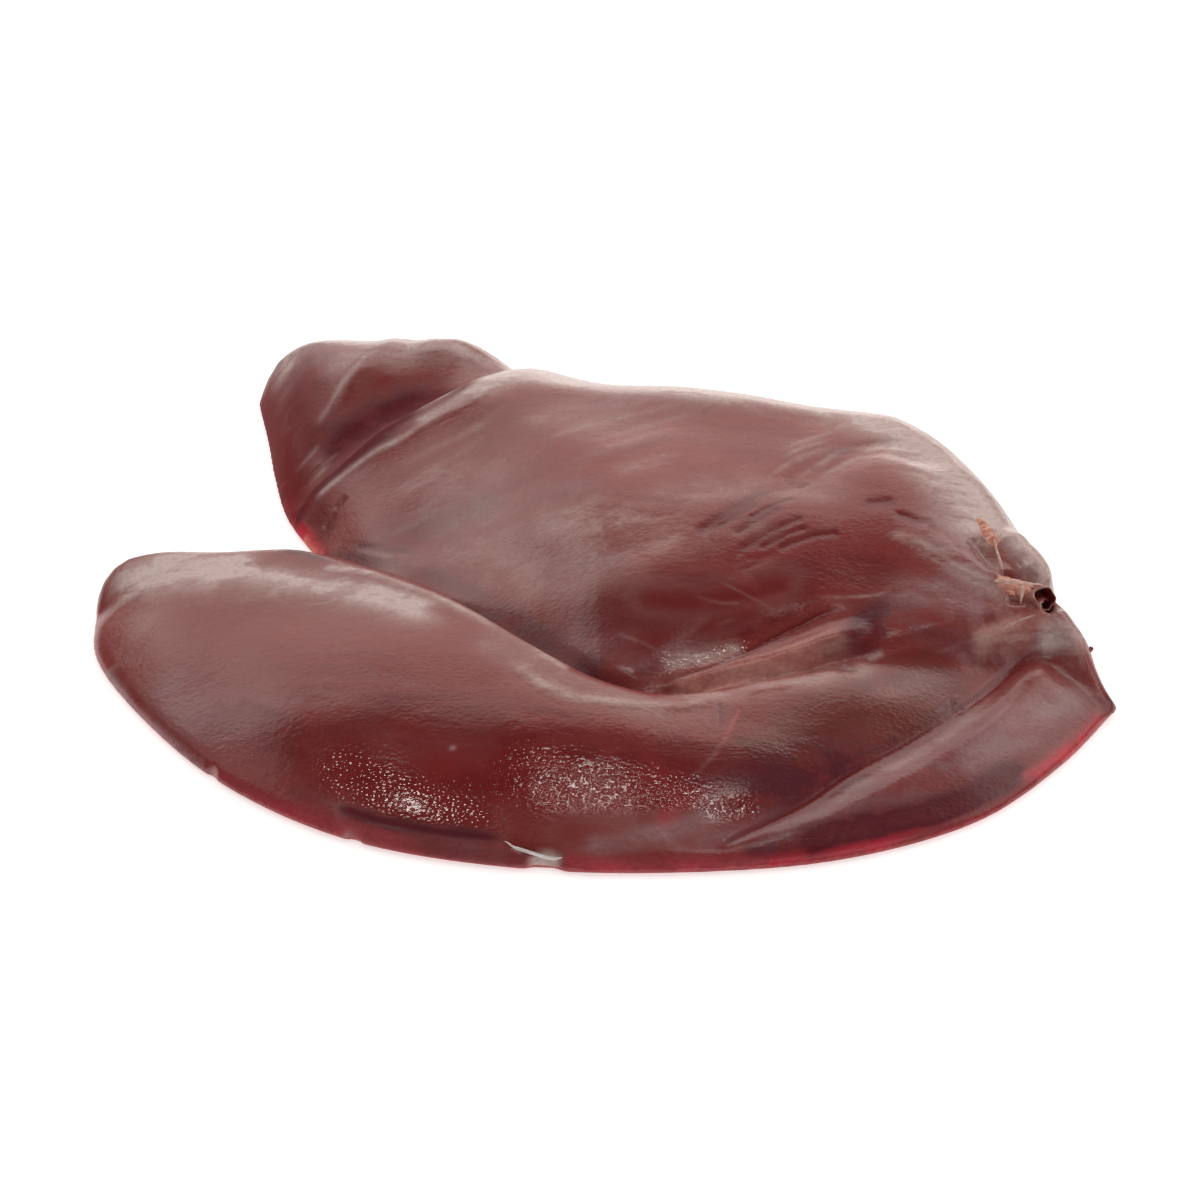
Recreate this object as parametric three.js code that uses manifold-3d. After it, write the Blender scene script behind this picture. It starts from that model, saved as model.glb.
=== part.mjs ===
// A whole fresh buffalo liver, lying flat with its visceral side up.
// Two lobes spread to the left from the hilum at the right end: a tongue-shaped front lobe with a
// thin, sharp margin, and a thicker rear lobe. The front lobe's rounded rear edge falls into the
// fissure between them, which opens into a notch at the left and fades out before the hilum.
// Millimetres, +Z up. X runs along the long side, Y from the front margin to the rear edge. The
// origin is at the centre of the footprint, on the plane that the liver rests on.
import * as THREE from "three";
import { mergeVertices } from "three/addons/utils/BufferGeometryUtils.js";
import Module from "manifold-3d";

const wasm = await Module();
wasm.setup();

// Driving sizes
const MARGIN_LIFT = 2.2; // the thin margins' middle height above the rest plane
const MARGIN_THICK = 2.6; // from a margin's middle to its upper face, just inside it
const MARGIN_ROUND = 5; // width of a margin's rounding
const UNDERSIDE_DEPTH = 2.5; // how far the lobes reach below the rest plane before it cuts them flat
const UNDERSIDE_ROUND = 9; // width of the underside's turn up to a margin
const HILUM_ROUND = 16; // width of the thick right end's rounding
const TONGUE_ROUND = 15; // width of the rounding along the front lobe's free rear edge
const LEFT_TAPER = [64, 30]; // how far the rear lobe takes to thin out, at the notch and at the rear
const LEFT_TAPER_POWER = 1.7;
const MARGIN_CALM = 25; // the folds fade out this near to the front margin
const FISSURE_CALM = 10; // and this near behind the fissure
const BELOW_SIZE = 600; // the block that cuts the underside flat on the rest plane
const BELOW_DEPTH = 20;
const COLOUR = 0x6a262b;

// The hilum: a small lobule of tissue, and a cut vessel with an open bore
const LOBULE_WIDTH = 20;
const LOBULE_LENGTH = 34;
const LOBULE_TURN = 0.45;
const LOBULE_PLACE = [180, -29, 34];
const VESSEL_PLACE = [187, -53, 28];
const VESSEL_AXIS = [0.62, -0.5, 0.6];
const VESSEL_OUTER = 6.2; // radii of its wall, outside and inside
const VESSEL_BORE = 4.2;
const VESSEL_ROOT = 8; // how deep it starts in the tissue, and how far it stands out
const VESSEL_STUB = 6;
const VESSEL_LIP = 1.2;

// Corners of the plan, and its border curves from one corner to the next, left to right
const TONGUE_TIP = [-217.5, -18];
const FLAP_TIP = [217.5, -87];
const NOTCH = [-113, 5];
const HILUM_CORNER = [212, -68];
const REAR_LEFT = [-167, 184];
const REAR_RIGHT = [203, -42];
const FRONT_MARGIN = [
  TONGUE_TIP, [-213.5, -45], [-195, -81], [-149, -139], [-94, -177], [-24, -195],
  [41, -196.5], [99, -188], [152, -164], [190, -126], FLAP_TIP,
];
const TONGUE_REAR = [TONGUE_TIP, [-217.5, 3], [-210, 13], [-190, 16], [-152, 8], NOTCH];
const FISSURE = [
  NOTCH, [-88, -13], [-66, -30], [-44, -52], [-12, -83], [6, -99], [30, -107], [66, -99], [107, -89],
  [150, -79], [188, -66], HILUM_CORNER,
];
const REAR_LOBE_LEFT = [NOTCH, [-124, 32], [-142, 70], [-151, 106], [-158, 143], REAR_LEFT];
const REAR_LOBE_REAR = [
  REAR_LEFT, [-162, 196], [-128, 197], [-86, 194], [-47, 188], [-24, 160], [10, 142], [50, 132],
  [91, 117], [124, 106], [149, 95], [166, 72], [181, 37], [193, 0], REAR_RIGHT,
];
const HILUM_END = [HILUM_CORNER, [209, -55], REAR_RIGHT];

// Heights and widths along the lobes, at even stations from left to right
const FRONT_CREST = [30, 31, 32.5, 34, 35.5, 34, 30, 28, 29, 30.5, 27];
const FRONT_SWELL_WIDTH = [46, 80, 99, 105, 107, 106, 104, 102, 94, 76, 40];
const FRONT_SWELL_POWER = [2.1, 2.3, 2.4, 2.4, 2.4, 2.3, 2.1, 1.9, 1.7, 1.6, 1.5];
const FISSURE_FLOOR = [MARGIN_LIFT, 13, 16, 17, 18, 20, 24, 27.5, 30, 31, 27];
const FISSURE_ROUND = [20, 20, 19, 18, 17, 14, 9, 7, 9, 12, 14];
const REAR_PLATEAU = [38, 41, 46, 52, 55, 56, 55, 54, 52, 43, 24];
const REAR_RISE_WIDTH = [150, 160, 165, 150, 132, 124, 120, 112, 100, 78, 50];
const REAR_RISE_POWER = [1.1, 1.1, 1.2, 1.35, 1.6, 1.75, 1.75, 1.6, 1.4, 1.3, 1.3];
const REAR_EDGE_ROUND = [16, 32, 44, 54, 55, 49, 44, 36, 27, 22, 14];

const unit = (x) => Math.min(1, Math.max(0, x));
const smooth = (x) => unit(x) ** 2 * (3 - 2 * unit(x));
const bullnose = (x) => Math.sqrt(1 - (1 - unit(x)) ** 2);
const swell = (x, power) => 1 - (1 - unit(x)) ** power;

// A smooth curve through plan points.
function planCurve(points) {
  return new THREE.CatmullRomCurve3(
    points.map(([x, y]) => new THREE.Vector3(x, y, 0)),
    false,
    "centripetal",
  );
}

// Where a plan point is beside a curve: its distance, on which side, and how far along from 0 to 1.
function traced(points, steps = 90) {
  const samples = planCurve(points).getSpacedPoints(steps);
  return (x, y) => {
    const nearest = { distance: Infinity, side: 1, along: 0 };
    for (let i = 0; i < steps; i++) {
      const a = samples[i];
      const dx = samples[i + 1].x - a.x;
      const dy = samples[i + 1].y - a.y;
      const share = unit(((x - a.x) * dx + (y - a.y) * dy) / (dx * dx + dy * dy));
      const distance = Math.hypot(x - a.x - share * dx, y - a.y - share * dy);
      if (distance < nearest.distance) {
        nearest.distance = distance;
        nearest.side = Math.sign(dx * (y - a.y) - dy * (x - a.x)) || 1;
        nearest.along = (i + share) / steps;
      }
    }
    return nearest;
  };
}

// A value that varies smoothly from 0 to 1, given at even stations.
function stations(values) {
  const last = values.length - 1;
  const curve = new THREE.SplineCurve(values.map((v, i) => new THREE.Vector2(i / last, v)));
  return (along) => curve.getPoint(unit(along)).y;
}

// A fold or ridge in the upper face along a path: its height, and its half widths to the left and
// to the right of the path, each from the path's start to its end.
function stroke(points, height, leftWidth, rightWidth = leftWidth) {
  const trace = traced(points, 60);
  return (x, y) => {
    const { distance, side, along } = trace(x, y);
    const [from, to] = side > 0 ? leftWidth : rightWidth;
    const width = from + (to - from) * along;
    return (height[0] + (height[1] - height[0]) * along) * Math.exp(-((distance / width) ** 2));
  };
}

// The long fold that sets off the flap at the lower right, the lip beside it, and the flap's dimple
const FLAP_FOLD = [
  [196, -61], [182, -73], [168, -91], [149, -117], [122, -142], [97, -161], [73, -175], [47, -188],
];
const FLAP_LIP = FLAP_FOLD.map(([x, y]) => [x + 6, y - 7]);
const frontStrokes = [
  stroke(FLAP_FOLD, [-4, -3], [5, 5], [20, 16]),
  stroke(FLAP_LIP, [1.6, 1.2], [5, 5]),
  stroke([[216, -86], [203, -78], [190, -76]], [-7, -2], [9, 7]),
];

// The rear lobe's shoulder, where the plateau turns down to the left
const REAR_SHOULDER = [[-26, 136], [-55, 109], [-69, 101], [-90, 92], [-112, 79], [-127, 66]];

// That shoulder, the valley and the faint ridge at its left, the strip behind the fissure
// with the line above it, the crease in the plateau, and the ridge that runs to the hilum
const rearStrokes = [
  stroke(REAR_SHOULDER, [2, 3.5], [22, 16], [7, 6]),
  stroke([[-22, 172], [-40, 146], [-76, 120], [-104, 101], [-127, 80]], [-9, -6], [13, 10], [14, 24]),
  stroke([[-93, 176], [-107, 143], [-121, 125], [-137, 96]], [3, 2], [8, 6]),
  stroke([[26, -107], [50, -99], [72, -93], [104, -81]], [2, 4], [5, 9]),
  stroke([[26, -98], [44, -91], [69, -83], [100, -71]], [-2, -3], [6, 7]),
  stroke([[85, 8], [106, 26], [127, 40], [146, 32]], [-2.5, -2.5], [9, 9]),
  stroke([[142, -26], [158, -40], [174, -48]], [2.5, 3], [8, 7]),
];

// The gentle waves of soft tissue.
function unevenness(x, y) {
  return (
    0.9 * Math.sin(x / 19 + 1.3) * Math.sin(y / 23 + 0.4) +
    0.6 * Math.sin((x + y) / 13 + 2.1) * Math.cos((x - y) / 17)
  );
}

const frontMargin = planCurve(FRONT_MARGIN);
const tongueRear = planCurve(TONGUE_REAR);
const fissure = planCurve(FISSURE);
const rearLobeLeft = planCurve(REAR_LOBE_LEFT);
const rearLobeRear = planCurve(REAR_LOBE_REAR);
const hilumEnd = planCurve(HILUM_END);

const toFrontMargin = traced(FRONT_MARGIN);
const toTongueRear = traced(TONGUE_REAR);
const toFissure = traced(FISSURE);
const toLeft = traced(REAR_LOBE_LEFT);
const toRear = traced(REAR_LOBE_REAR);
const toFlapEnd = traced([FLAP_TIP, HILUM_CORNER], 1);
const toHilumEnd = traced(HILUM_END);

const frontCrest = stations(FRONT_CREST);
const frontSwellWidth = stations(FRONT_SWELL_WIDTH);
const frontSwellPower = stations(FRONT_SWELL_POWER);
const fissureFloor = stations(FISSURE_FLOOR);
const fissureRound = stations(FISSURE_ROUND);
const rearPlateau = stations(REAR_PLATEAU);
const rearRiseWidth = stations(REAR_RISE_WIDTH);
const rearRisePower = stations(REAR_RISE_POWER);
const rearEdgeRound = stations(REAR_EDGE_ROUND);

// How far the rear and right edges round the upper face down, from 1 inside to 0 at the border.
function rounding(x, y) {
  const rear = toRear(x, y);
  const right = Math.min(toFlapEnd(x, y).distance, toHilumEnd(x, y).distance);
  return bullnose(rear.distance / rearEdgeRound(rear.along)) * bullnose(right / HILUM_ROUND);
}

const total = (strokes, x, y) => strokes.reduce((sum, s) => sum + s(x, y), unevenness(x, y));

// The upper face of the front lobe: it swells from the front margin to a crest beside the fissure.
function frontTop(x, y, column, along) {
  const margin = toFrontMargin(x, y).distance;
  const share = fissureShare(column);
  const tongue = bullnose(toTongueRear(x, y).distance / TONGUE_ROUND);
  const behind = bullnose(toFissure(x, y).distance / fissureRound(share));
  const edge = MARGIN_LIFT + MARGIN_THICK * bullnose(margin / MARGIN_ROUND);
  const rise = swell(margin / frontSwellWidth(along), frontSwellPower(along));
  const relief = total(frontStrokes, x, y) * smooth(margin / MARGIN_CALM);
  const body = edge + (frontCrest(along) - MARGIN_LIFT - MARGIN_THICK) * rise + relief;
  const inner = fissureFloor(share) + (body - fissureFloor(share)) * behind;
  return MARGIN_LIFT + (inner - MARGIN_LIFT) * tongue * rounding(x, y);
}

// The upper face of the rear lobe: it rises from the fissure's floor to a plateau.
function rearTop(x, y, share, depth) {
  const floor = fissureFloor(share);
  const left = toLeft(x, y);
  const taper = LEFT_TAPER[0] + (LEFT_TAPER[1] - LEFT_TAPER[0]) * left.along;
  const rise = swell(depth / rearRiseWidth(share), rearRisePower(share));
  const calm = smooth(depth / FISSURE_CALM);
  const relief = total(rearStrokes, x, y) * calm;
  const body = (rearPlateau(share) - floor) * rise + relief;
  const thin = swell(left.distance / taper, LEFT_TAPER_POWER);
  const edge = MARGIN_THICK * bullnose(left.distance / MARGIN_ROUND) * calm;
  return MARGIN_LIFT + (floor - MARGIN_LIFT + edge + body * thin) * rounding(x, y);
}

function underside(x, y) {
  const borders = [toFrontMargin, toTongueRear, toLeft, toRear, toFlapEnd, toHilumEnd];
  const nearest = Math.min(...borders.map((trace) => trace(x, y).distance));
  return MARGIN_LIFT - (MARGIN_LIFT + UNDERSIDE_DEPTH) * bullnose(nearest / UNDERSIDE_ROUND);
}

// Both lobes' grids: columns from left to right, rows from front to rear. The front lobe's last
// columns end on the fissure's points, where the rear lobe's columns begin.
const TONGUE_COLUMNS = 20;
const FISSURE_COLUMNS = 62;
const FRONT_ROWS = 22;
const REAR_ROWS = 38;
const closer = (x) => 0.45 * x + 0.55 * (0.5 - 0.5 * Math.cos(Math.PI * x));
const fissureShare = (column) => closer(unit((column - TONGUE_COLUMNS) / FISSURE_COLUMNS));

function fissurePoint(share) {
  const { x, y } = fissure.getPointAt(share);
  return { x, y, top: () => MARGIN_LIFT + (fissureFloor(share) - MARGIN_LIFT) * rounding(x, y) };
}

function frontPoint(column, row) {
  if (row === FRONT_ROWS && column >= TONGUE_COLUMNS) return fissurePoint(fissureShare(column));
  const along = column / (TONGUE_COLUMNS + FISSURE_COLUMNS);
  const tongue = column < TONGUE_COLUMNS;
  const rear = tongue
    ? tongueRear.getPointAt(closer(column / TONGUE_COLUMNS))
    : fissure.getPointAt(fissureShare(column));
  const { x, y } = frontMargin.getPointAt(closer(along)).lerp(rear, closer(row / FRONT_ROWS));
  return { x, y, top: () => frontTop(x, y, column, along) };
}

function rearPoint(column, row) {
  const share = fissureShare(column + TONGUE_COLUMNS);
  if (row === 0) return fissurePoint(share);
  const t = closer(row / REAR_ROWS);
  const start = fissure.getPointAt(share);
  const end = rearLobeRear.getPointAt(share);
  const depth = t * start.distanceTo(end);
  const sides = rearLobeLeft.getPointAt(t).lerp(hilumEnd.getPointAt(t), share);
  const front = fissure.getPointAt(0).lerp(fissure.getPointAt(1), share);
  const rear = rearLobeRear.getPointAt(0).lerp(rearLobeRear.getPointAt(1), share);
  const { x, y } = start.lerp(end, t).add(sides).sub(front.lerp(rear, t));
  return { x, y, top: () => rearTop(x, y, share, depth) };
}

// One lobe's upper and lower faces, on one grid, as loose vertices and triangles.
function lobeFaces(point, columns, rows, isFree) {
  const position = [];
  const index = [];
  const stride = rows + 1;
  const lower = (columns + 1) * stride;
  for (const upper of [true, false]) {
    for (let i = 0; i <= columns; i++) {
      for (let j = 0; j <= rows; j++) {
        const { x, y, top } = point(i, j);
        position.push(x, y, isFree(i, j) ? MARGIN_LIFT : upper ? top() : underside(x, y));
      }
    }
  }
  for (let i = 0; i < columns; i++) {
    for (let j = 0; j < rows; j++) {
      const a = i * stride + j;
      const b = a + stride;
      index.push(a, b, b + 1, a, b + 1, a + 1);
      index.push(lower + a, lower + b + 1, lower + b, lower + a, lower + a + 1, lower + b + 1);
    }
  }
  return { position, index };
}

function joined(lobes) {
  const position = lobes.flatMap((lobe) => lobe.position);
  const index = [];
  let first = 0;
  for (const lobe of lobes) {
    for (const corner of lobe.index) index.push(first + corner);
    first += lobe.position.length / 3;
  }
  const geometry = new THREE.BufferGeometry();
  geometry.setAttribute("position", new THREE.Float32BufferAttribute(position, 3));
  geometry.setIndex(index);
  return geometry;
}

function solidOf(geometry) {
  const bare = geometry.clone();
  bare.deleteAttribute("normal");
  bare.deleteAttribute("uv");
  const merged = mergeVertices(bare, 1e-3);
  const kept = [];
  const corners = merged.index.array;
  for (let i = 0; i < corners.length; i += 3) {
    const [a, b, c] = corners.slice(i, i + 3);
    if (a !== b && b !== c && c !== a) kept.push(a, b, c);
  }
  return new wasm.Manifold(
    new wasm.Mesh({
      numProp: 3,
      vertProperties: merged.attributes.position.array,
      triVerts: new Uint32Array(kept),
    }),
  );
}

function geometryOf(solid) {
  const mesh = solid.getMesh();
  const geometry = new THREE.BufferGeometry();
  geometry.setAttribute("position", new THREE.BufferAttribute(mesh.vertProperties, 3));
  geometry.setIndex(new THREE.BufferAttribute(mesh.triVerts, 1));
  geometry.computeVertexNormals();
  return geometry;
}

// A small rounded lobe of tissue that swells out of the hilum, behind the vessel.
function hilumLobule() {
  return new THREE.SphereGeometry(1, 28, 18)
    .scale(LOBULE_WIDTH / 2, LOBULE_LENGTH / 2, LOBULE_WIDTH / 2)
    .rotateZ(LOBULE_TURN)
    .translate(...LOBULE_PLACE);
}

// A round piece on the cut vessel's axis, from a profile of radii and heights above its middle.
function alongVessel(profile) {
  const points = profile.map(([radius, height]) => new THREE.Vector2(radius, height));
  const upright = new THREE.LatheGeometry(points, 24);
  const up = new THREE.Vector3(0, 1, 0);
  const axis = new THREE.Vector3(...VESSEL_AXIS).normalize();
  const turn = new THREE.Quaternion().setFromUnitVectors(up, axis);
  return upright.applyQuaternion(turn).translate(...VESSEL_PLACE);
}

function vesselWall() {
  const lip = VESSEL_STUB + VESSEL_LIP;
  return alongVessel([
    [0, -VESSEL_ROOT], [VESSEL_OUTER, -VESSEL_ROOT],
    [VESSEL_OUTER, VESSEL_STUB], [VESSEL_BORE, lip], [0, lip],
  ]);
}

function vesselBore() {
  const clear = 3 * VESSEL_STUB;
  return alongVessel([
    [0, -VESSEL_ROOT / 2], [VESSEL_BORE - 1, 1 - VESSEL_ROOT / 2],
    [VESSEL_BORE, 0], [VESSEL_BORE, clear], [0, clear],
  ]);
}

// The front lobe's border stays on the margin, apart from where it meets the rear lobe.
function isFrontFree(column, row) {
  const atEnd = column === 0 || column === TONGUE_COLUMNS + FISSURE_COLUMNS;
  const atRear = row === FRONT_ROWS && column <= TONGUE_COLUMNS;
  return atEnd || row === 0 || atRear;
}

function isRearFree(column, row) {
  return column === 0 || column === FISSURE_COLUMNS || row === REAR_ROWS;
}

const lobes = solidOf(
  joined([
    lobeFaces(frontPoint, TONGUE_COLUMNS + FISSURE_COLUMNS, FRONT_ROWS, isFrontFree),
    lobeFaces(rearPoint, FISSURE_COLUMNS, REAR_ROWS, isRearFree),
  ]),
);
const below = new THREE.BoxGeometry(BELOW_SIZE, BELOW_SIZE, BELOW_DEPTH).translate(0, 0, -BELOW_DEPTH / 2);
const whole = lobes
  .add(solidOf(hilumLobule()))
  .add(solidOf(vesselWall()))
  .subtract(solidOf(vesselBore()))
  .subtract(solidOf(below));

const liver = new THREE.Mesh(
  geometryOf(whole),
  new THREE.MeshStandardMaterial({ color: COLOUR, roughness: 0.35, metalness: 0 }),
);
liver.name = "liver";

const part = new THREE.Group();
part.add(liver);
export default part;
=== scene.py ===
import logging
import math
from dataclasses import dataclass, field
from enum import Enum
from typing import Iterable, Iterator, Sequence

import bpy
import numpy as np
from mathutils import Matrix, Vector
from mathutils.bvhtree import BVHTree


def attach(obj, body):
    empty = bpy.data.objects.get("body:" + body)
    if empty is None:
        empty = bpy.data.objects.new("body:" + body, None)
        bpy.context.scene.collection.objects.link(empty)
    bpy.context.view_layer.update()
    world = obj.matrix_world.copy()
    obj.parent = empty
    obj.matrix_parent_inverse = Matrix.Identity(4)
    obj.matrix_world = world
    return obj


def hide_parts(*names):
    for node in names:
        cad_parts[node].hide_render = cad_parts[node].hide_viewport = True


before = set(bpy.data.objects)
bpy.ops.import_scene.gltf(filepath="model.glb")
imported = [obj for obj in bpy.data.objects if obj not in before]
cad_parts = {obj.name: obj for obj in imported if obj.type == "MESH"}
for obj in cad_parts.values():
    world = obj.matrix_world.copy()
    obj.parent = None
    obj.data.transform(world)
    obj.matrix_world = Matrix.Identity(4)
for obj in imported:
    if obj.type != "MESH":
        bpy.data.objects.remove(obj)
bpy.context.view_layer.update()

Plan = tuple[float, float]
Path = tuple[Plan, ...]
Width = float | tuple[float, float]
Place = tuple[float, float, float]
Colour = tuple[float, float, float, float]

MM = 0.001
BODY = "root"
WARM_WHITE = (1.0, 0.93, 0.88)
THIN_LINE = 3.5
BRUSH_REACH = 2.6
MERGE_DISTANCE = 0.000001
INNER_SHADE = "inner_shade"

log = logging.getLogger("liver")


class Layer(Enum):
    """What is painted over the flesh, each stored as a point attribute of that name."""

    ROSY = "rosy_flesh"
    # Deep red and purple: the flesh's own dark patches, and also painted shade in grooves, creases and on
    # slopes turned away from the lights
    DEEP = "deep_red"
    PURPLE = "purple_cast"
    BROWN = "brown_cast"
    MAUVE = "mauve_film"
    # Pale film: partly the capsule's own milky film, partly painted sheen and painted highlights
    PALE = "pale_film_and_painted_sheen"
    # Painted glow: crimson where light seems to shine through the thin margins
    CRIMSON = "thin_margin_painted_glow"
    SALMON = "salmon_tissue"
    COARSE = "coarse_grain"
    DRY = "dry_capsule"


@dataclass(frozen=True)
class Brush:
    """One pass along a path in plan that raises or presses the surface, or paints it.

    Attributes:
        path: Plan points in millimetres.
        width: Half width on the left and on the right of the path, in millimetres.
        depth: Height of the raised line in millimetres, negative for a groove.
        fade: Share of the length over which each end fades out, 0 for round ends.
        tints: How strongly each layer is painted.
    """

    path: Path
    width: tuple[float, float]
    depth: float
    fade: float
    tints: tuple[tuple[Layer, float], ...]


def stroke(path: Path, width: Width, depth: float = 0, fade: float = 0.18, **tints: float) -> Brush:
    """Returns a brush pass, with round ends unless it is a thin line.

    Args:
        path: Plan points in millimetres.
        width: Half width, or the half widths on the left and on the right of the path.
        depth: Height of the raised line, negative for a groove.
        fade: Share of the length over which each end of a thin line fades out.
        **tints: The strength of each painted layer, by its name.

    Returns:
        The brush pass.
    """
    named = tuple((Layer[name.upper()], strength) for name, strength in tints.items())
    sides = width if isinstance(width, tuple) else (width, width)
    return Brush(path, sides, depth, fade if max(sides) < THIN_LINE else 0, named)


def streaks(
    paths: Iterable[Path], width: Width, depths: Sequence[float], fade: float, *tints: dict[str, float]
) -> list[Brush]:
    """Returns brush passes over a family of lines.

    Args:
        paths: The lines.
        width: Half width, or the half widths on the left and on the right.
        depths: The lines' heights, taken in turn.
        fade: Share of the length over which each end fades out.
        *tints: The layers and strengths of each line, taken in turn.

    Returns:
        One pass for each line.
    """
    return [
        stroke(path, width, depths[number % len(depths)], fade, **tints[number % len(tints)])
        for number, path in enumerate(paths)
    ]


def dab(x: float, y: float, size: float, depth: float = 0.0, **tints: float) -> Brush:
    """Returns a brush that dabs one round spot."""
    half = 0.3 * size
    return stroke(((x - half, y), (x, y), (x + half, y)), size, depth, 0, **tints)


def smoothstep(low: float, high: float, values: np.ndarray) -> np.ndarray:
    """Returns the values eased from 0 at low to 1 at high."""
    share = np.clip((values - low) / (high - low), 0.0, 1.0)
    return share * share * (3.0 - 2.0 * share)


def rounded_path(path: Path, steps: int = 6) -> np.ndarray:
    """Puts a smooth curve through plan points.

    Args:
        path: The points, in order.
        steps: How many pieces each stretch is cut into.

    Returns:
        The curve's points, one row each.
    """
    points = np.array(path, float)
    if len(points) < 3:
        return points
    ends = np.vstack([2 * points[0] - points[1], points, 2 * points[-1] - points[-2]])
    share = np.linspace(0.0, 1.0, steps, endpoint=False)[:, None]
    rows = []
    for a, b, c, d in zip(ends, ends[1:], ends[2:], ends[3:]):
        bend = (2 * a - 5 * b + 4 * c - d) * share**2 + (3 * b - a - 3 * c + d) * share**3
        rows.append(b + 0.5 * ((c - a) * share + bend))
    return np.vstack(rows + [points[-1:]])


def passed_lengths(path: np.ndarray) -> np.ndarray:
    """Returns the length of a path up to each of its points."""
    return np.concatenate([[0.0], np.cumsum(np.linalg.norm(np.diff(path, axis=0), axis=1))])


def beside(places: np.ndarray, path: np.ndarray) -> tuple[np.ndarray, np.ndarray, np.ndarray]:
    """Measures where plan places lie beside a path.

    Args:
        places: Plan places, one row each.
        path: The path's points, one row each.

    Returns:
        The distance to the path, the side (1 left, -1 right) and the share of the length passed.
    """
    steps = np.diff(path, axis=0)
    lengths = np.linalg.norm(steps, axis=1)
    passed = passed_lengths(path)
    best = np.full(len(places), np.inf)
    side = np.ones(len(places))
    along = np.zeros(len(places))
    for start, step, length, before in zip(path, steps, lengths, passed):
        offset = places - start
        share = np.clip(offset @ step / length**2, 0.0, 1.0)
        distance = np.linalg.norm(offset - share[:, None] * step, axis=1)
        nearer = distance < best
        best[nearer] = distance[nearer]
        turned = step[0] * offset[nearer, 1] - step[1] * offset[nearer, 0]
        side[nearer] = np.where(turned < 0, -1, 1)
        along[nearer] = (before + share[nearer] * length) / passed[-1]
    return best, side, along


def brushed(brush: Brush, places: np.ndarray) -> np.ndarray:
    """Gives how much of a brush reaches each plan place.

    Args:
        brush: The brush pass.
        places: Plan places in millimetres, one row each.

    Returns:
        A value from 0 to 1 for each place.
    """
    amount = np.zeros(len(places))
    path = rounded_path(brush.path)
    reach = BRUSH_REACH * max(brush.width)
    low, high = path.min(axis=0) - reach, path.max(axis=0) + reach
    near = np.flatnonzero(np.all((places > low) & (places < high), axis=1))
    distance, side, along = beside(places[near], path)
    width = np.where(side > 0, brush.width[0], brush.width[1])
    amount[near] = np.exp(-((distance / width) ** 2))
    if brush.fade:
        amount[near] *= smoothstep(0.0, brush.fade, along) * smoothstep(0.0, brush.fade, 1.0 - along)
    return amount


def fan(first: Path, last: Path, count: int, seed: int, stray: float) -> Iterator[Path]:
    """Yields a family of uneven lines between two lines.

    Args:
        first: The first line's points.
        last: The last line's points, as many as the first has.
        count: How many lines.
        seed: Seeds the unevenness.
        stray: How far the points stray, in millimetres.

    Yields:
        The lines, from the first side to the last.
    """
    rng = np.random.default_rng(seed)
    start, end = np.array(first, float), np.array(last, float)
    knots = np.arange(len(start))
    for number in range(count):
        share = (number + rng.uniform(0.2, 0.8)) / count
        line = start + (end - start) * share + rng.normal(0.0, stray, start.shape)
        low, high = rng.uniform(0.0, 0.35), rng.uniform(0.65, 1.0)
        stations = np.linspace(low, high, len(line)) * (len(line) - 1)
        columns = [np.interp(stations, knots, line[:, axis]) for axis in (0, 1)]
        yield tuple((float(x), float(y)) for x, y in zip(*columns))


# Blender helpers


def select_only(piece: bpy.types.Object) -> None:
    """Makes a piece the only selected and the active object."""
    bpy.ops.object.select_all(action="DESELECT")
    piece.select_set(True)
    bpy.context.view_layer.objects.active = piece


def apply_modifier(piece: bpy.types.Object, kind: str, **settings: object) -> None:
    """Adds a modifier with these settings and applies it.

    Args:
        piece: The object.
        kind: The modifier's type.
        **settings: The modifier's properties.
    """
    modifier = piece.modifiers.new(kind.lower(), kind)
    for name, value in settings.items():
        setattr(modifier, name, value)
    select_only(piece)
    bpy.ops.object.modifier_apply(modifier=modifier.name)


def weigh(piece: bpy.types.Object, name: str, weights: np.ndarray) -> None:
    """Stores weights from 0 to 1 as a vertex group, in fine steps."""
    group = piece.vertex_groups.new(name=name)
    fineness = 255
    steps = np.rint(weights * fineness).astype(int)
    for step in range(1, fineness + 1):
        chosen = np.flatnonzero(steps == step)
        if len(chosen):
            group.add(chosen.tolist(), step / fineness, "REPLACE")


def vertex_values(piece: bpy.types.Object, what: str) -> np.ndarray:
    """Returns a vector property of every vertex, one row each."""
    vertices = piece.data.vertices
    values = np.zeros(len(vertices) * 3)
    vertices.foreach_get(what, values)
    return values.reshape(-1, 3)


def move_vertices(piece: bpy.types.Object, places: np.ndarray) -> None:
    """Moves every vertex to its new place, one row each."""
    piece.data.vertices.foreach_set("co", places.ravel())
    piece.data.update()


def store(piece: bpy.types.Object, name: str, values: np.ndarray) -> None:
    """Stores one number for every vertex as a point attribute."""
    attribute = piece.data.attributes.new(name, "FLOAT", "POINT")
    attribute.data.foreach_set("value", values.astype(np.float32))


def keep(piece: bpy.types.Object, replaced: Sequence[str] = ()) -> None:
    """Args:
        piece: The finished object.
        replaced: The nodes that it stands for.
    """
    select_only(piece)
    bpy.ops.object.shade_smooth()
    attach(piece, BODY)
    if replaced:
        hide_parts(*replaced)
    log.info("%s: %d faces", piece.name, len(piece.data.polygons))


# Node trees


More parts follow.
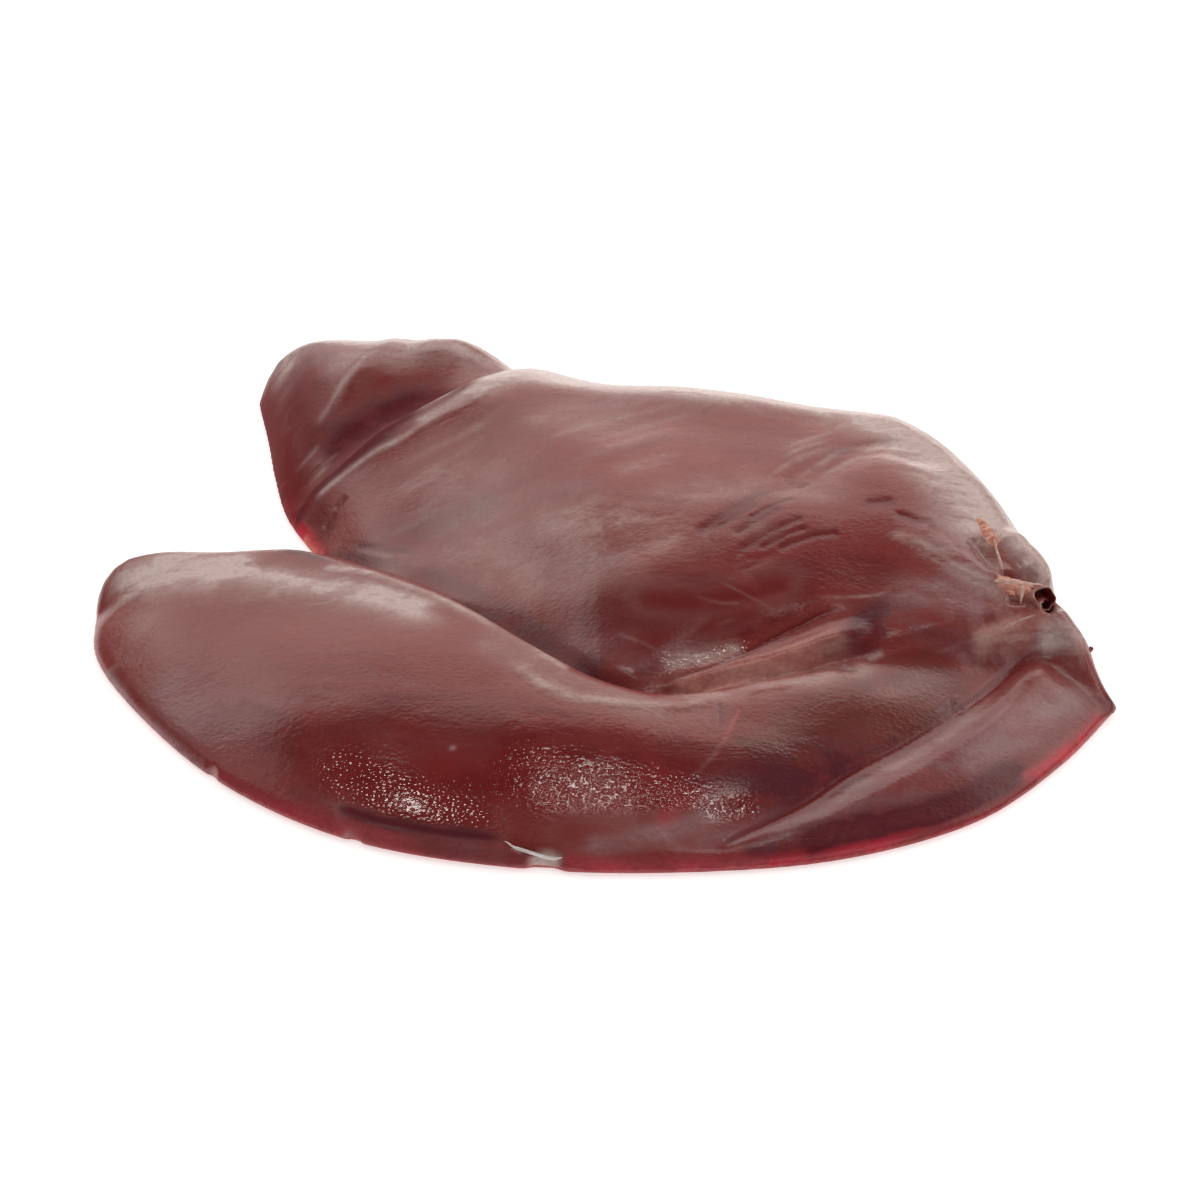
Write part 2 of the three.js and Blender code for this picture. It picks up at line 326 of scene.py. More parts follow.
@dataclass
class NodeTree:
    """A node tree that is written one node at a time."""

    tree: bpy.types.NodeTree

    def set(self, socket: bpy.types.NodeSocket, value: object) -> None:
        """Links an output socket to an input, or sets the input's value."""
        if isinstance(value, bpy.types.NodeSocket):
            self.tree.links.new(value, socket)
        else:
            socket.default_value = value

    def add(self, kind: str, inputs: dict | None = None, **settings: object) -> bpy.types.Node:
        """Adds a node.

        Args:
            kind: The node's type name, without its ShaderNode prefix.
            inputs: Values and output sockets for its inputs, by name or number.
            **settings: The node's own properties.

        Returns:
            The new node.
        """
        node = self.tree.nodes.new("ShaderNode" + kind)
        for name, value in settings.items():
            setattr(node, name, value)
        for key, value in (inputs or {}).items():
            self.set(node.inputs[key], value)
        return node

    def math(self, operation: str, *values: object, clamp: bool = False) -> bpy.types.NodeSocket:
        """Returns the result of a sum on values or sockets."""
        inputs = dict(enumerate(values))
        return self.add("Math", inputs, operation=operation, use_clamp=clamp).outputs[0]

    def vector(self, operation: str, *values: object) -> bpy.types.NodeSocket:
        """Returns the result of a sum on vectors."""
        return self.add("VectorMath", dict(enumerate(values)), operation=operation).outputs[0]

    def ramp(
        self, value: object, low: object, high: object, first: float = 0.0, last: float = 1.0
    ) -> bpy.types.NodeSocket:
        """Returns a value eased from first to last as it goes from low to high."""
        inputs = {"Value": value, "From Min": low, "From Max": high, "To Min": first, "To Max": last}
        return self.add("MapRange", inputs, interpolation_type="SMOOTHSTEP").outputs[0]

    def blend(self, share: object, a: object, b: object) -> bpy.types.NodeSocket:
        """Returns a blend of two numbers, all of the second at share 1."""
        return self.add("Mix", {0: share, 2: a, 3: b}, clamp_factor=True).outputs[0]

    def mix(self, share: object, a: object, b: object) -> bpy.types.NodeSocket:
        """Returns a blend of two colours, all of the second at share 1."""
        node = self.add("Mix", {0: share}, data_type="RGBA", clamp_factor=True)
        self.set(node.inputs[6], a)
        self.set(node.inputs[7], b)
        return node.outputs[2]

    def group(self, made: bpy.types.NodeTree, **inputs: object) -> bpy.types.NodeOutputs:
        """Places a node group, sets its inputs and returns its outputs."""
        node = self.tree.nodes.new("ShaderNodeGroup")
        node.node_tree = made
        for key, value in inputs.items():
            self.set(node.inputs[key], value)
        return node.outputs


class PatternGroup(NodeTree):
    """A node group that reads its pattern at a place and puts out numbers."""

    def __init__(self, name: str, inputs: dict[str, float], outputs: Sequence[str]) -> None:
        """Starts the group.

        Args:
            name: The group's name.
            inputs: Its number inputs, with their usual values.
            outputs: Its number outputs.
        """
        super().__init__(bpy.data.node_groups.new(name, "ShaderNodeTree"))
        sockets = self.tree.interface
        sockets.new_socket("Place", in_out="INPUT", socket_type="NodeSocketVector")
        for label, value in inputs.items():
            sockets.new_socket(label, in_out="INPUT", socket_type="NodeSocketFloat").default_value = value
        for label in outputs:
            sockets.new_socket(label, in_out="OUTPUT", socket_type="NodeSocketFloat")
        self.given = self.tree.nodes.new("NodeGroupInput").outputs
        self.result = self.tree.nodes.new("NodeGroupOutput").inputs

    def stretched(self, place: object) -> bpy.types.NodeSocket:
        """Returns a place whose pattern is drawn out along X by the Stretch input."""
        squeeze = self.add("CombineXYZ", {0: self.math("DIVIDE", 1.0, self.given["Stretch"]), 1: 1.0, 2: 1.0})
        return self.vector("MULTIPLY", place, squeeze.outputs[0])


def leathery_grain(name: str, rounded: bool) -> bpy.types.NodeTree:
    """Makes the capsule's grain: wavy rows of small pebbles with a fine roughness on them.

    Args:
        name: The node group's name.
        rounded: Whether the pebbles run softly into each other, or meet in crisp furrows.

    Returns:
        The node group, with the grain's height and its furrows as a mask.
    """
    made = PatternGroup(name, {"Pitch": 0.0016, "Stretch": 1.6, "Fine": 0.5}, ("Height", "Furrow"))
    bend_scale, bend_size = 70.0, 0.004
    fine_scale = 1300.0
    pebble_edge = 0.8 if rounded else 1.0
    furrow_start, furrow_full = 0.46, 0.84
    place = made.given["Place"]
    density = made.math("DIVIDE", 1.0, made.given["Pitch"])
    warp = made.add("TexNoise", {"Vector": place, "Scale": bend_scale, "Detail": 2.0})
    bent = made.vector("SUBTRACT", warp.outputs["Color"], (0.5, 0.5, 0.5))
    moved = made.vector("MULTIPLY_ADD", bent, (bend_size, bend_size, bend_size), place)
    inputs = {"Vector": made.stretched(moved), "Scale": density, "Randomness": 0.95}
    if rounded:
        inputs["Smoothness"] = 0.4
    pebbles = made.add("TexVoronoi", inputs, feature="SMOOTH_F1" if rounded else "F1").outputs["Distance"]
    fine = made.add("TexNoise", {"Vector": place, "Scale": fine_scale, "Detail": 2.0, "Roughness": 0.6})
    pebble = made.ramp(pebbles, 0.0, pebble_edge, 1.0, 0.0)
    height = made.math("MULTIPLY_ADD", fine.outputs["Fac"], made.given["Fine"], pebble)
    made.set(made.result["Height"], height)
    made.set(made.result["Furrow"], made.ramp(pebbles, furrow_start, furrow_full))
    return made.tree


def mottling() -> bpy.types.NodeTree:
    """Makes soft, uneven patches or fibres, as of blood in the tissue.

    Returns:
        The node group, with a mask of the patches.
    """
    made = PatternGroup("mottling", {"Scale": 30.0, "Contrast": 0.5, "Stretch": 1.0}, ("Mask",))
    inputs = {"Vector": made.stretched(made.given["Place"]), "Scale": made.given["Scale"]}
    noise = made.add("TexNoise", inputs | {"Detail": 4.0, "Roughness": 0.6, "Distortion": 0.4})
    low = made.math("MULTIPLY_ADD", made.given["Contrast"], 0.5, 0.1)
    high = made.math("SUBTRACT", 1.0, low)
    made.set(made.result["Mask"], made.ramp(noise.outputs["Fac"], low, high))
    return made.tree


@dataclass(frozen=True)
class Effects:
    """The node groups that the finishes share."""

    grain: bpy.types.NodeTree
    pebbles: bpy.types.NodeTree
    mottle: bpy.types.NodeTree


@dataclass(frozen=True)
class Patches:
    """A pattern of soft patches or fibres.

    Attributes:
        scale: How many there are to a metre.
        contrast: How hard their edges are, from 0 to 1.
        stretch: How far they are drawn out along X.
    """

    scale: float
    contrast: float
    stretch: float

    def mask(self, nodes: NodeTree, effects: Effects, place: bpy.types.NodeSocket) -> bpy.types.NodeSocket:
        """Returns the patches as a mask.

        Args:
            nodes: The material's node tree.
            effects: The shared node groups.
            place: The socket with the place on the piece.

        Returns:
            The mask's socket.
        """
        made = nodes.group(
            effects.mottle, Place=place, Scale=self.scale, Contrast=self.contrast, Stretch=self.stretch
        )
        return made["Mask"]


@dataclass(frozen=True)
class FleshFinish:
    """Wet, dark red-brown flesh under a thin, glossy, leathery capsule.

    Attributes:
        name: The material's name.
        body: The flesh's main colour, and with rosy to salmon the painted layers' colours.
        wide: Wide patches of the rosy colour, over rosy_share.
        small: Small brown patches, over brown_share, which also make the layers' edges ragged.
        fibres: Fine dark streaks, over deep_share.
        swell: The low, wide unevenness of the surface, swell_strength high.
        furrow_share: How dark the furrows of the grain are.
        roughness: The wet capsule's roughness, and how much it varies, at its coarse and at its dry places.
        grain_height: What a height of 1 is in metres, for the grain and the pebbles of the coarse places.
        coat: The weight and the roughness of the wet film.
        scatter: The weight and the reach in metres of the light inside the flesh.
    """

    name: str = "liver flesh"
    body: Colour = (0.242, 0.021, 0.018, 1.0)
    rosy: Colour = (0.350, 0.062, 0.054, 1.0)
    deep: Colour = (0.180, 0.007, 0.007, 1.0)
    purple: Colour = (0.105, 0.007, 0.018, 1.0)
    brown: Colour = (0.160, 0.032, 0.016, 1.0)
    # The pale colour serves the pale film and also the painted sheen and painted highlights
    mauve: Colour = (0.275, 0.105, 0.112, 1.0)
    pale: Colour = (0.660, 0.497, 0.462, 1.0)
    # The crimson colour is a painted glow of light shining through thin tissue
    crimson: Colour = (0.680, 0.030, 0.060, 1.0)
    salmon: Colour = (0.780, 0.320, 0.220, 1.0)
    wide: Patches = Patches(16.0, 0.55, 1.3)
    rosy_share: float = 0.45
    small: Patches = Patches(75.0, 0.45, 1.6)
    brown_share: float = 0.25
    ragged: tuple[float, float] = (0.6, 1.4)
    fibres: Patches = Patches(190.0, 0.50, 5.0)
    deep_share: float = 0.20
    furrow_share: float = 0.22
    roughness: float = 0.23
    roughness_varies: float = 0.06
    roughness_coarse: float = 0.09
    roughness_dry: float = 1.0
    refraction: float = 1.47
    grain_height: float = 0.00016
    grain_pitch: float = 0.0016
    grain_stretch: float = 1.6
    grain_strength: float = 0.30
    pebble_pitch: float = 0.0015
    pebble_stretch: float = 1.25
    pebble_fine: float = 0.1
    pebble_strength: float = 0.66
    swell: Patches = Patches(60.0, 0.20, 1.8)
    swell_strength: float = 0.9
    coat: tuple[float, float] = (0.04, 0.12)
    scatter: tuple[float, tuple[float, float, float]] = (0.12, (0.006, 0.0015, 0.001))

    def make(self, effects: Effects) -> bpy.types.Material:
        """Makes the material.

        Args:
            effects: The shared node groups.

        Returns:
            The material.
        """
        material = bpy.data.materials.new(self.name)
        material.use_nodes = True
        nodes = NodeTree(material.node_tree)
        shader = material.node_tree.nodes["Principled BSDF"].inputs
        place = nodes.add("TexCoord").outputs["Object"]

        def layer(which: Layer) -> bpy.types.NodeSocket:
            """Returns a painted layer's strength."""
            return nodes.add("Attribute", attribute_name=which.value).outputs["Fac"]

        patches = (self.wide, self.small, self.fibres, self.swell)
        wide, small, fibres, swell = (pattern.mask(nodes, effects, place) for pattern in patches)
        grain = nodes.group(effects.grain, Place=place, Pitch=self.grain_pitch, Stretch=self.grain_stretch)
        pebbles = nodes.group(
            effects.pebbles, Place=place,
            Pitch=self.pebble_pitch, Stretch=self.pebble_stretch, Fine=self.pebble_fine,
        )
        ragged = nodes.ramp(small, 0.0, 1.0, *self.ragged)

        colour = nodes.mix(nodes.math("MULTIPLY", wide, self.rosy_share), self.body, self.rosy)
        colour = nodes.mix(nodes.math("MULTIPLY", small, self.brown_share), colour, self.brown)
        colour = nodes.mix(nodes.math("MULTIPLY", fibres, self.deep_share), colour, self.deep)
        for which, tint in (
            (Layer.ROSY, self.rosy),
            (Layer.BROWN, self.brown),
            (Layer.MAUVE, self.mauve),
            (Layer.CRIMSON, self.crimson),
            (Layer.PURPLE, self.purple),
            (Layer.DEEP, self.deep),
            (Layer.SALMON, self.salmon),
            (Layer.PALE, self.pale),
        ):
            colour = nodes.mix(nodes.math("MULTIPLY", layer(which), ragged, clamp=True), colour, tint)
        colour = nodes.mix(nodes.math("MULTIPLY", grain["Furrow"], self.furrow_share), colour, self.deep)
        nodes.set(shader["Base Color"], colour)

        coarse = layer(Layer.COARSE)
        uneven = nodes.math("MULTIPLY_ADD", small, self.roughness_varies, self.roughness)
        rough = nodes.blend(coarse, uneven, self.roughness_coarse)
        nodes.set(shader["Roughness"], nodes.blend(layer(Layer.DRY), rough, self.roughness_dry))

        fine = nodes.math("MULTIPLY", grain["Height"], self.grain_strength)
        bold = nodes.math("MULTIPLY", pebbles["Height"], self.pebble_strength)
        height = nodes.blend(coarse, fine, bold)
        height = nodes.math("MULTIPLY_ADD", swell, self.swell_strength, height)
        bump = nodes.add("Bump", {"Strength": 1.0, "Distance": self.grain_height, "Height": height})
        nodes.set(shader["Normal"], bump.outputs["Normal"])

        for name, value in (
            ("IOR", self.refraction),
            ("Coat Weight", self.coat[0]),
            ("Coat Roughness", self.coat[1]),
            ("Subsurface Weight", self.scatter[0]),
            ("Subsurface Radius", self.scatter[1]),
            ("Subsurface Scale", 1.0),
        ):
            shader[name].default_value = value
        return material


@dataclass(frozen=True)
class TissueFinish:
    """Wet, torn connective tissue, streaked from a light to a dark colour.

    Attributes:
        name: The material's name.
        light: The colour of its fibres.
        dark: The colour between them, and the painted shade inside a bore and under a band.
    """

    name: str
    light: Colour
    dark: Colour

    FIBRES = Patches(420.0, 0.6, 2.5)
    FIBRE_SHARE = 0.40
    GRAIN_PITCH = 0.0012
    GRAIN_STRETCH = 2.0
    GRAIN_HEIGHT = 0.0001
    ROUGHNESS = 0.24
    ROUGHNESS_VARIES = 0.12
    COAT = (0.5, 0.10)
    SCATTER = (0.2, (0.004, 0.0015, 0.001))

    def make(self, effects: Effects) -> bpy.types.Material:
        """Makes the material.

        Args:
            effects: The shared node groups.

        Returns:
            The material.
        """
        material = bpy.data.materials.new(self.name)
        material.use_nodes = True
        nodes = NodeTree(material.node_tree)
        shader = material.node_tree.nodes["Principled BSDF"].inputs
        place = nodes.add("TexCoord").outputs["Object"]
        fibres = self.FIBRES.mask(nodes, effects, place)
        grain = nodes.group(effects.grain, Place=place, Pitch=self.GRAIN_PITCH, Stretch=self.GRAIN_STRETCH)
        inside = nodes.add("Attribute", attribute_name=INNER_SHADE).outputs["Fac"]
        shade = nodes.math("MULTIPLY_ADD", fibres, self.FIBRE_SHARE, inside, clamp=True)
        nodes.set(shader["Base Color"], nodes.mix(shade, self.light, self.dark))
        rough = nodes.math("MULTIPLY_ADD", fibres, self.ROUGHNESS_VARIES, self.ROUGHNESS)
        nodes.set(shader["Roughness"], rough)
        bump = nodes.add("Bump", {"Strength": 1.0, "Distance": self.GRAIN_HEIGHT, "Height": grain["Height"]})
        nodes.set(shader["Normal"], bump.outputs["Normal"])
        for name, value in (
            ("Coat Weight", self.COAT[0]),
            ("Coat Roughness", self.COAT[1]),
            ("Subsurface Weight", self.SCATTER[0]),
            ("Subsurface Radius", self.SCATTER[1]),
            ("Subsurface Scale", 1.0),
        ):
            shader[name].default_value = value
        return material


LIGAMENT = TissueFinish("torn ligament", (0.80, 0.30, 0.19, 1.0), (0.45, 0.09, 0.05, 1.0))
# Cream tissue, its bright colour partly a painted highlight
CREAM_TISSUE_AND_HIGHLIGHT = TissueFinish("cream tissue with painted highlight", (0.95, 0.62, 0.52, 1.0), (0.70, 0.28, 0.21, 1.0))
SALMON_TISSUE = TissueFinish("salmon tissue", (0.70, 0.26, 0.18, 1.0), (0.34, 0.05, 0.04, 1.0))
PALE_MEMBRANE = TissueFinish("pale membrane", (0.52, 0.30, 0.28, 1.0), (0.34, 0.14, 0.13, 1.0))
# The vessel's and the ducts' dark colours also serve as the painted shade inside their bores
VESSEL_WALL = TissueFinish("vessel wall", (0.42, 0.20, 0.17, 1.0), (0.085, 0.010, 0.009, 1.0))
# Pale capsule, so near white that it is partly a painted highlight
CAPSULE_SHRED_AND_HIGHLIGHT = TissueFinish("capsule shred with painted highlight", (0.98, 0.86, 0.84, 1.0), (0.90, 0.66, 0.64, 1.0))
DUCT_WALL = TissueFinish("duct wall", (0.40, 0.27, 0.25, 1.0), (0.14, 0.05, 0.05, 1.0))


@dataclass(frozen=True)
class Nick:
    """A small nick in the thin margin.

    Attributes:
        place: A plan place at the margin.
        half: Half of its length along the margin, in millimetres.
        depth: How far it reaches in, in millimetres.
    """

    place: Plan
    half: float
    depth: float

    # The plan place that a nick reaches towards, and how wide, how near and how far in it is looked for
    INNER = (-20.0, -60.0)
    SPAN = 3.0
    BAND = 25.0
    EASE = 4.0

    def moved(self, places: np.ndarray) -> np.ndarray:
        """Draws the margin in at the nick.

        Args:
            places: Plan places in millimetres, one row each.

        Returns:
            How far each of them moves.
        """
        inward = np.array(self.INNER) - self.place
        inward /= np.linalg.norm(inward)
        offset = places - self.place
        across = offset @ np.array([-inward[1], inward[0]])
        depth = offset @ inward
        near = (np.abs(across) < self.SPAN * self.half) & (np.abs(depth) < self.BAND)
        depth = depth - depth[near].min()
        eased = 1.0 - smoothstep(0.0, self.EASE * self.depth, depth)
        amount = np.exp(-((across / self.half) ** 4)) * eased
        return np.where(near, self.depth * amount, 0.0)[:, None] * inward


@dataclass
class Flesh:
    """The liver's body: the solid's form with a smooth skin, its folds, wrinkles and tints.

    Attributes:
        node: The solid that it dresses.
        name: The piece's name.
        voxel: The skin's fineness in metres.
        smoothing: How often the skin is smoothed.
        triangles: About how many triangles it has.
        sculpt_facing: How far the surface faces up where sculpting begins, and where it is full.
        paint_facing: The same for painting.
        margin_red: The heights in millimetres up to which the thin margin has a painted red glow, as of light
            shining through it, and has no glow left.
        margin_strength: How strong that painted glow is.
        film_rise: The heights between which the pale film and its painted sheen set in on the steep rear
            sides.
        film_from: Where along Y those sides begin.
        nicks: The nicks in the front margin.
        finish: The flesh's finish.
    """

    node: str = "liver"
    name: str = "liver_flesh"
    voxel: float = 0.0011
    smoothing: int = 16
    triangles: int = 195_000
    sculpt_facing: tuple[float, float] = (0.0, 0.35)
    paint_facing: tuple[float, float] = (-0.2, 0.25)
    margin_red: tuple[float, float] = (2.5, 6.5)
    margin_strength: float = 0.25
    film_rise: tuple[float, float] = (7.0, 22.0)
    film_from: float = -60.0
    nicks: tuple[Nick, ...] = (
        Nick((-18.5, -196.0), 6.5, 2.4),
        Nick((-95.0, -180.0), 3.0, 1.5),
        Nick((-157.0, -136.0), 3.0, 1.5),
    )
    finish: FleshFinish = field(default_factory=FleshFinish)

    def brushes(self) -> list[Brush]:
        """Returns every brush pass: the folds, grooves, wrinkles, spots and tinted areas."""
        return [
            *self.fissure_brushes(),
            *self.flap_brushes(),
            *self.front_lobe_brushes(),
            *self.front_margin_brushes(),
            *self.bowl_brushes(),
            *self.plateau_brushes(),
            *self.wrinkle_brushes(),
            *self.rear_left_brushes(),
            *self.left_end_brushes(),
            *self.hilum_brushes(),
        ]

    def fissure_brushes(self) -> list[Brush]:
        """Returns the fissure's crest with its painted highlight, the painted shade in the gap behind it, and
        the groove, strip and knob at its right end, with painted shade in the grooves and painted light under
        the strip.
        """
        groove = ((25, -102), (36, -104), (52, -107), (68, -99), (85, -95), (97, -93), (107, -93))
        line = ((25, -101), (40, -97), (50, -94), (60, -88), (73, -80), (86, -73), (95, -68), (106, -65))
        crest = ((-112, -24), (-96, -30), (-83, -40), (-66, -50), (-47, -64), (-30, -80), (-12, -98))
        gap = ((-114, 26), (-104, 17), (-85, 1), (-66, -14), (-48, -32), (-31, -50), (-14, -68), (3, -88))
        return [
            # Painted highlight along the fissure's crest
            stroke(crest, (2.6, 3.6), 0.4, pale=0.6),
            # Painted shade in the gap behind the crest (this and the next two passes)
            stroke(gap, (3.5, 4), purple=0.7, deep=0.3),
            stroke(((-140, -7), (-130, -9), (-121, -13), (-110, -17)), 2, fade=0.2, purple=0.9),
            stroke(
                ((-60, -30), (-39, -48), (-22, -65), (-9, -79), (3, -93), (20, -103)),
                (3, 2.5), -0.5, purple=0.8,
            ),
            # Painted highlight along the front lobe's rounded rear edge
            stroke(((43, -118), (30, -121), (8, -122), (-13, -118), (-28, -104)), (3.5, 3), 0.4, pale=0.5),
            # Painted shade in the groove and the line by the strip (this and the next pass)
            stroke(groove, 1.4, -0.6, deep=1, purple=0.6),
            stroke(line, 1.2, -0.5, deep=1.2, purple=0.4),
            stroke(
                ((40, -103), (56, -99), (72, -94), (86, -89), (98, -83)),
                6, rosy=1.6, salmon=0.32, pale=0.2,
            ),
            # Painted light under the strip
            stroke(((30, -114), (60, -109), (90, -101), (108, -94)), (5, 7), rosy=1.2, pale=0.36),
            stroke(((60, -111), (72, -107), (86, -103)), 1.6, 0.4, 0.3, pale=0.4),
            stroke(((98, -93), (104, -94), (110, -93)), 2.4, -0.6, 0.3, purple=1, deep=0.6),
            stroke(((96, -86), (104, -84), (112, -81), (118, -76)), (4, 4.5), -0.5, purple=1, deep=0.4),
            stroke(((105, -82), (110, -77), (114, -69), (120, -64)), 5.5, -0.3, purple=1.1),
            stroke(((122, -65), (132, -63)), (6, 5), purple=0.45, mauve=0.5),
            stroke(((111, -88), (116, -87), (121, -84)), 1.4, 0.2, 0.3, pale=0.3),
            stroke(((51, -114), (51, -124), (51, -135)), 0.9, -0.3, 0.3, purple=0.7),
        ]

    def flap_brushes(self) -> list[Brush]:
        """Returns the flap's fold with painted shade in it, its twin line, its lip with a painted highlight,
        and the flap's tints, with painted shade where it curves down, the painted glow of its thin margin and
        a painted highlight on the bulge by the hilum.
        """
        fold = (
            (187, -68), (174, -80), (159, -98), (144, -115), (131, -127), (118, -138), (100, -152),
            (81, -168), (65, -179), (46, -190),
        )
        margin = (
            (212, -93), (198, -113), (182, -132), (161, -150), (144, -164), (127, -174), (111, -182),
            (95, -187), (80, -191), (64, -194),
        )
        middle = ((200, -90), (182, -108), (164, -123), (142, -143), (118, -161), (92, -176))
        dark = (
            (84, -186), (96, -181), (108, -177), (120, -173), (132, -168), (144, -161), (157, -151),
            (168, -141),
        )
        return [
            # Painted shade in the fold
            stroke(fold, 1.6, -0.9, 0.08, deep=0.9, purple=0.5),
            stroke(((152, -102), (138, -116), (123, -129), (108, -141), (93, -152)), 1.5, -0.4, purple=0.5),
            # Painted highlight along the lip
            stroke(tuple((x + 4.5, y - 5.0) for x, y in fold[:-2]), (2.4, 3.4), 0.5, 0.15, pale=0.24),
            stroke(middle, (14, 12), mauve=0.7),
            stroke(((199, -86), (188, -99), (174, -114)), (9, 8), rosy=0.5, pale=0.2),
            stroke(((90, -170), (80, -178), (66, -186)), 6, mauve=1),
            # Painted shade where the flap curves down to its margin
            stroke(dark, (6, 3.6), purple=1.8, deep=0.3),
            # Painted glow of the thin margin
            stroke(margin, (1.8, 2.4), fade=0.03, crimson=0.8),
            stroke(((150, -140), (170, -124), (190, -104)), (5, 6), mauve=0.8, pale=0.1),
            stroke(((190, -77), (197, -80), (204, -84), (210, -88)), (6.5, 5), -0.6, deep=0.8, rosy=0.5),
            # Painted highlight on the bulge by the hilum (this and the next pass)
            stroke(((189, -67), (196, -67), (202, -69)), (4.5, 4), 0.6, rosy=1, pale=1),
            stroke(((195, -57), (200, -63)), 4, pale=0.7),
            stroke(((193, -57), (200, -66), (207, -76), (213, -86)), (5, 6), 2.6),
            dab(216, -87, 4.0, purple=1.4),
        ]

    def front_lobe_brushes(self) -> list[Brush]:
        """Returns the front lobe's painted sheen band, its dark red band of painted shade, grain, film edges
        and a small painted highlight.
        """
        film = ((61, -115), (56, -130), (50, -145), (42, -156), (33, -166))
        crest = (
            (-194, -16), (-179, -17), (-163, -22), (-142, -29), (-125, -34), (-108, -39), (-90, -47),
            (-73, -58),
        )
        body = ((-196, -50), (-150, -75), (-100, -85), (-40, -105), (0, -120))
        ending = (
            (-143, -108), (-126, -121), (-112, -130), (-98, -131), (-88, -124), (-72, -126), (-57, -125),
            (-41, -131), (-25, -137), (-7, -140), (14, -141), (36, -141),
        )
        low = ((-150, -128), (-116, -146), (-80, -159), (-40, -163), (0, -163), (36, -164))
        grain = fan(
            ((-196, -56), (-140, -80), (-80, -92), (-20, -124)),
            ((-180, -92), (-124, -128), (-70, -150), (20, -158)), 18, 11, 2.0,
        )
        ragged = fan(
            ((-136, -104), (-100, -121), (-56, -119), (-8, -131)),
            ((-128, -116), (-92, -128), (-50, -127), (40, -140)), 9, 12, 2.4,
        )
        return [
            # Painted sheen along the crest and the tongue's tip (this and the next three passes)
            stroke(crest, (8, 12), pale=0.66),
            stroke(crest[3:], (5, 10), pale=1.1),
            stroke(((-206, -16), (-192, -13), (-178, -17), (-162, -20), (-147, -23)), (4, 8), pale=1.3),
            stroke(((-214, -16), (-204, -8), (-190, -6), (-174, -9), (-156, -14)), (9, 6), pale=1.5),
            stroke(((-206, -30), (-196, -45)), 9, rosy=1.1, pale=0.3),
            stroke(body, (34, 26), rosy=0.5, deep=0.12),
            # Painted sheen on the crest's right part
            stroke(
                ((-38, -88), (-22, -104), (-4, -116), (22, -123), (42, -124)), (10, 9), pale=0.26, rosy=0.3,
            ),
            # Painted shade: the dark red band below the sheen
            stroke(ending, (3, 22), deep=1),
            # Painted shade in the lower band
            stroke(low, 14, deep=0.6, crimson=0.1),
            stroke(low, 16, coarse=0.4),
            stroke(((-99, -152), (-84, -162), (-68, -171), (-50, -178)), (11, 9), coarse=1.5),
            stroke(((-60, -160), (-40, -166), (-16, -166)), 9, coarse=0.9),
            stroke(((-26, -158), (4, -166), (32, -168)), (13, 15), coarse=1.6),
            stroke(((30, -172), (45, -172), (60, -170)), 5, coarse=1.1),
            stroke(((-10, -184), (14, -184), (36, -180)), 6, dry=0.7),
            stroke(
                ((-172, -86), (-158, -106), (-140, -121), (-122, -138)), (9, 11), mauve=0.6, coarse=0.35,
            ),
            stroke(((10, -132), (50, -130), (90, -140)), 16, coarse=0.3),
            stroke(((-132, -142), (-116, -154), (-98, -166)), (6, 5), mauve=0.4, coarse=0.3),
            stroke(((-150, -130), (-136, -140), (-122, -150)), 6, rosy=0.9),
            stroke(film, (0.7, 1.1), 0.05, 0.2, pale=0.08, crimson=0.3),
            stroke(((48, -147), (41, -160), (33, -170)), 5, crimson=0.18),
            stroke(((20, -143), (42, -148), (56, -136)), 8, rosy=0.6),
            stroke(((44, -160), (62, -161), (81, -156), (99, -149)), (15, 12), purple=0.9),
            stroke(
                ((66, -146), (84, -139), (104, -131), (124, -120), (143, -108)),
                (15, 11), brown=1, coarse=0.45,
            ),
            stroke(
                ((80, -124), (100, -113), (122, -102), (142, -92)),
                (10, 12), mauve=0.2, brown=0.8, deep=0.3, coarse=0.3,
            ),
            stroke(((126, -117), (137, -108), (148, -98)), 7, brown=1, deep=0.5),
            stroke(((93, -141), (102, -135), (113, -128)), 7, mauve=0.45),
            stroke(((143, -107), (147, -108), (152, -108)), 2.6, -0.3, 0.2, purple=0.8),
            stroke(((28, -178), (35, -170), (42, -164)), 3.5, crimson=0.4),
            # A small painted highlight
            dab(-55, -147, 1.0, 0.2, pale=0.5),
            *streaks(grain, (1.2, 1.5), (0,), 0.3, {"mauve": 0.35}, {"deep": 0.35}, {"deep": 0.35}),
            # Painted shade that breaks up the lower edge of the sheen
            *streaks(ragged, (2, 2.6), (0,), 0.3, {"deep": 0.8}),
        ]

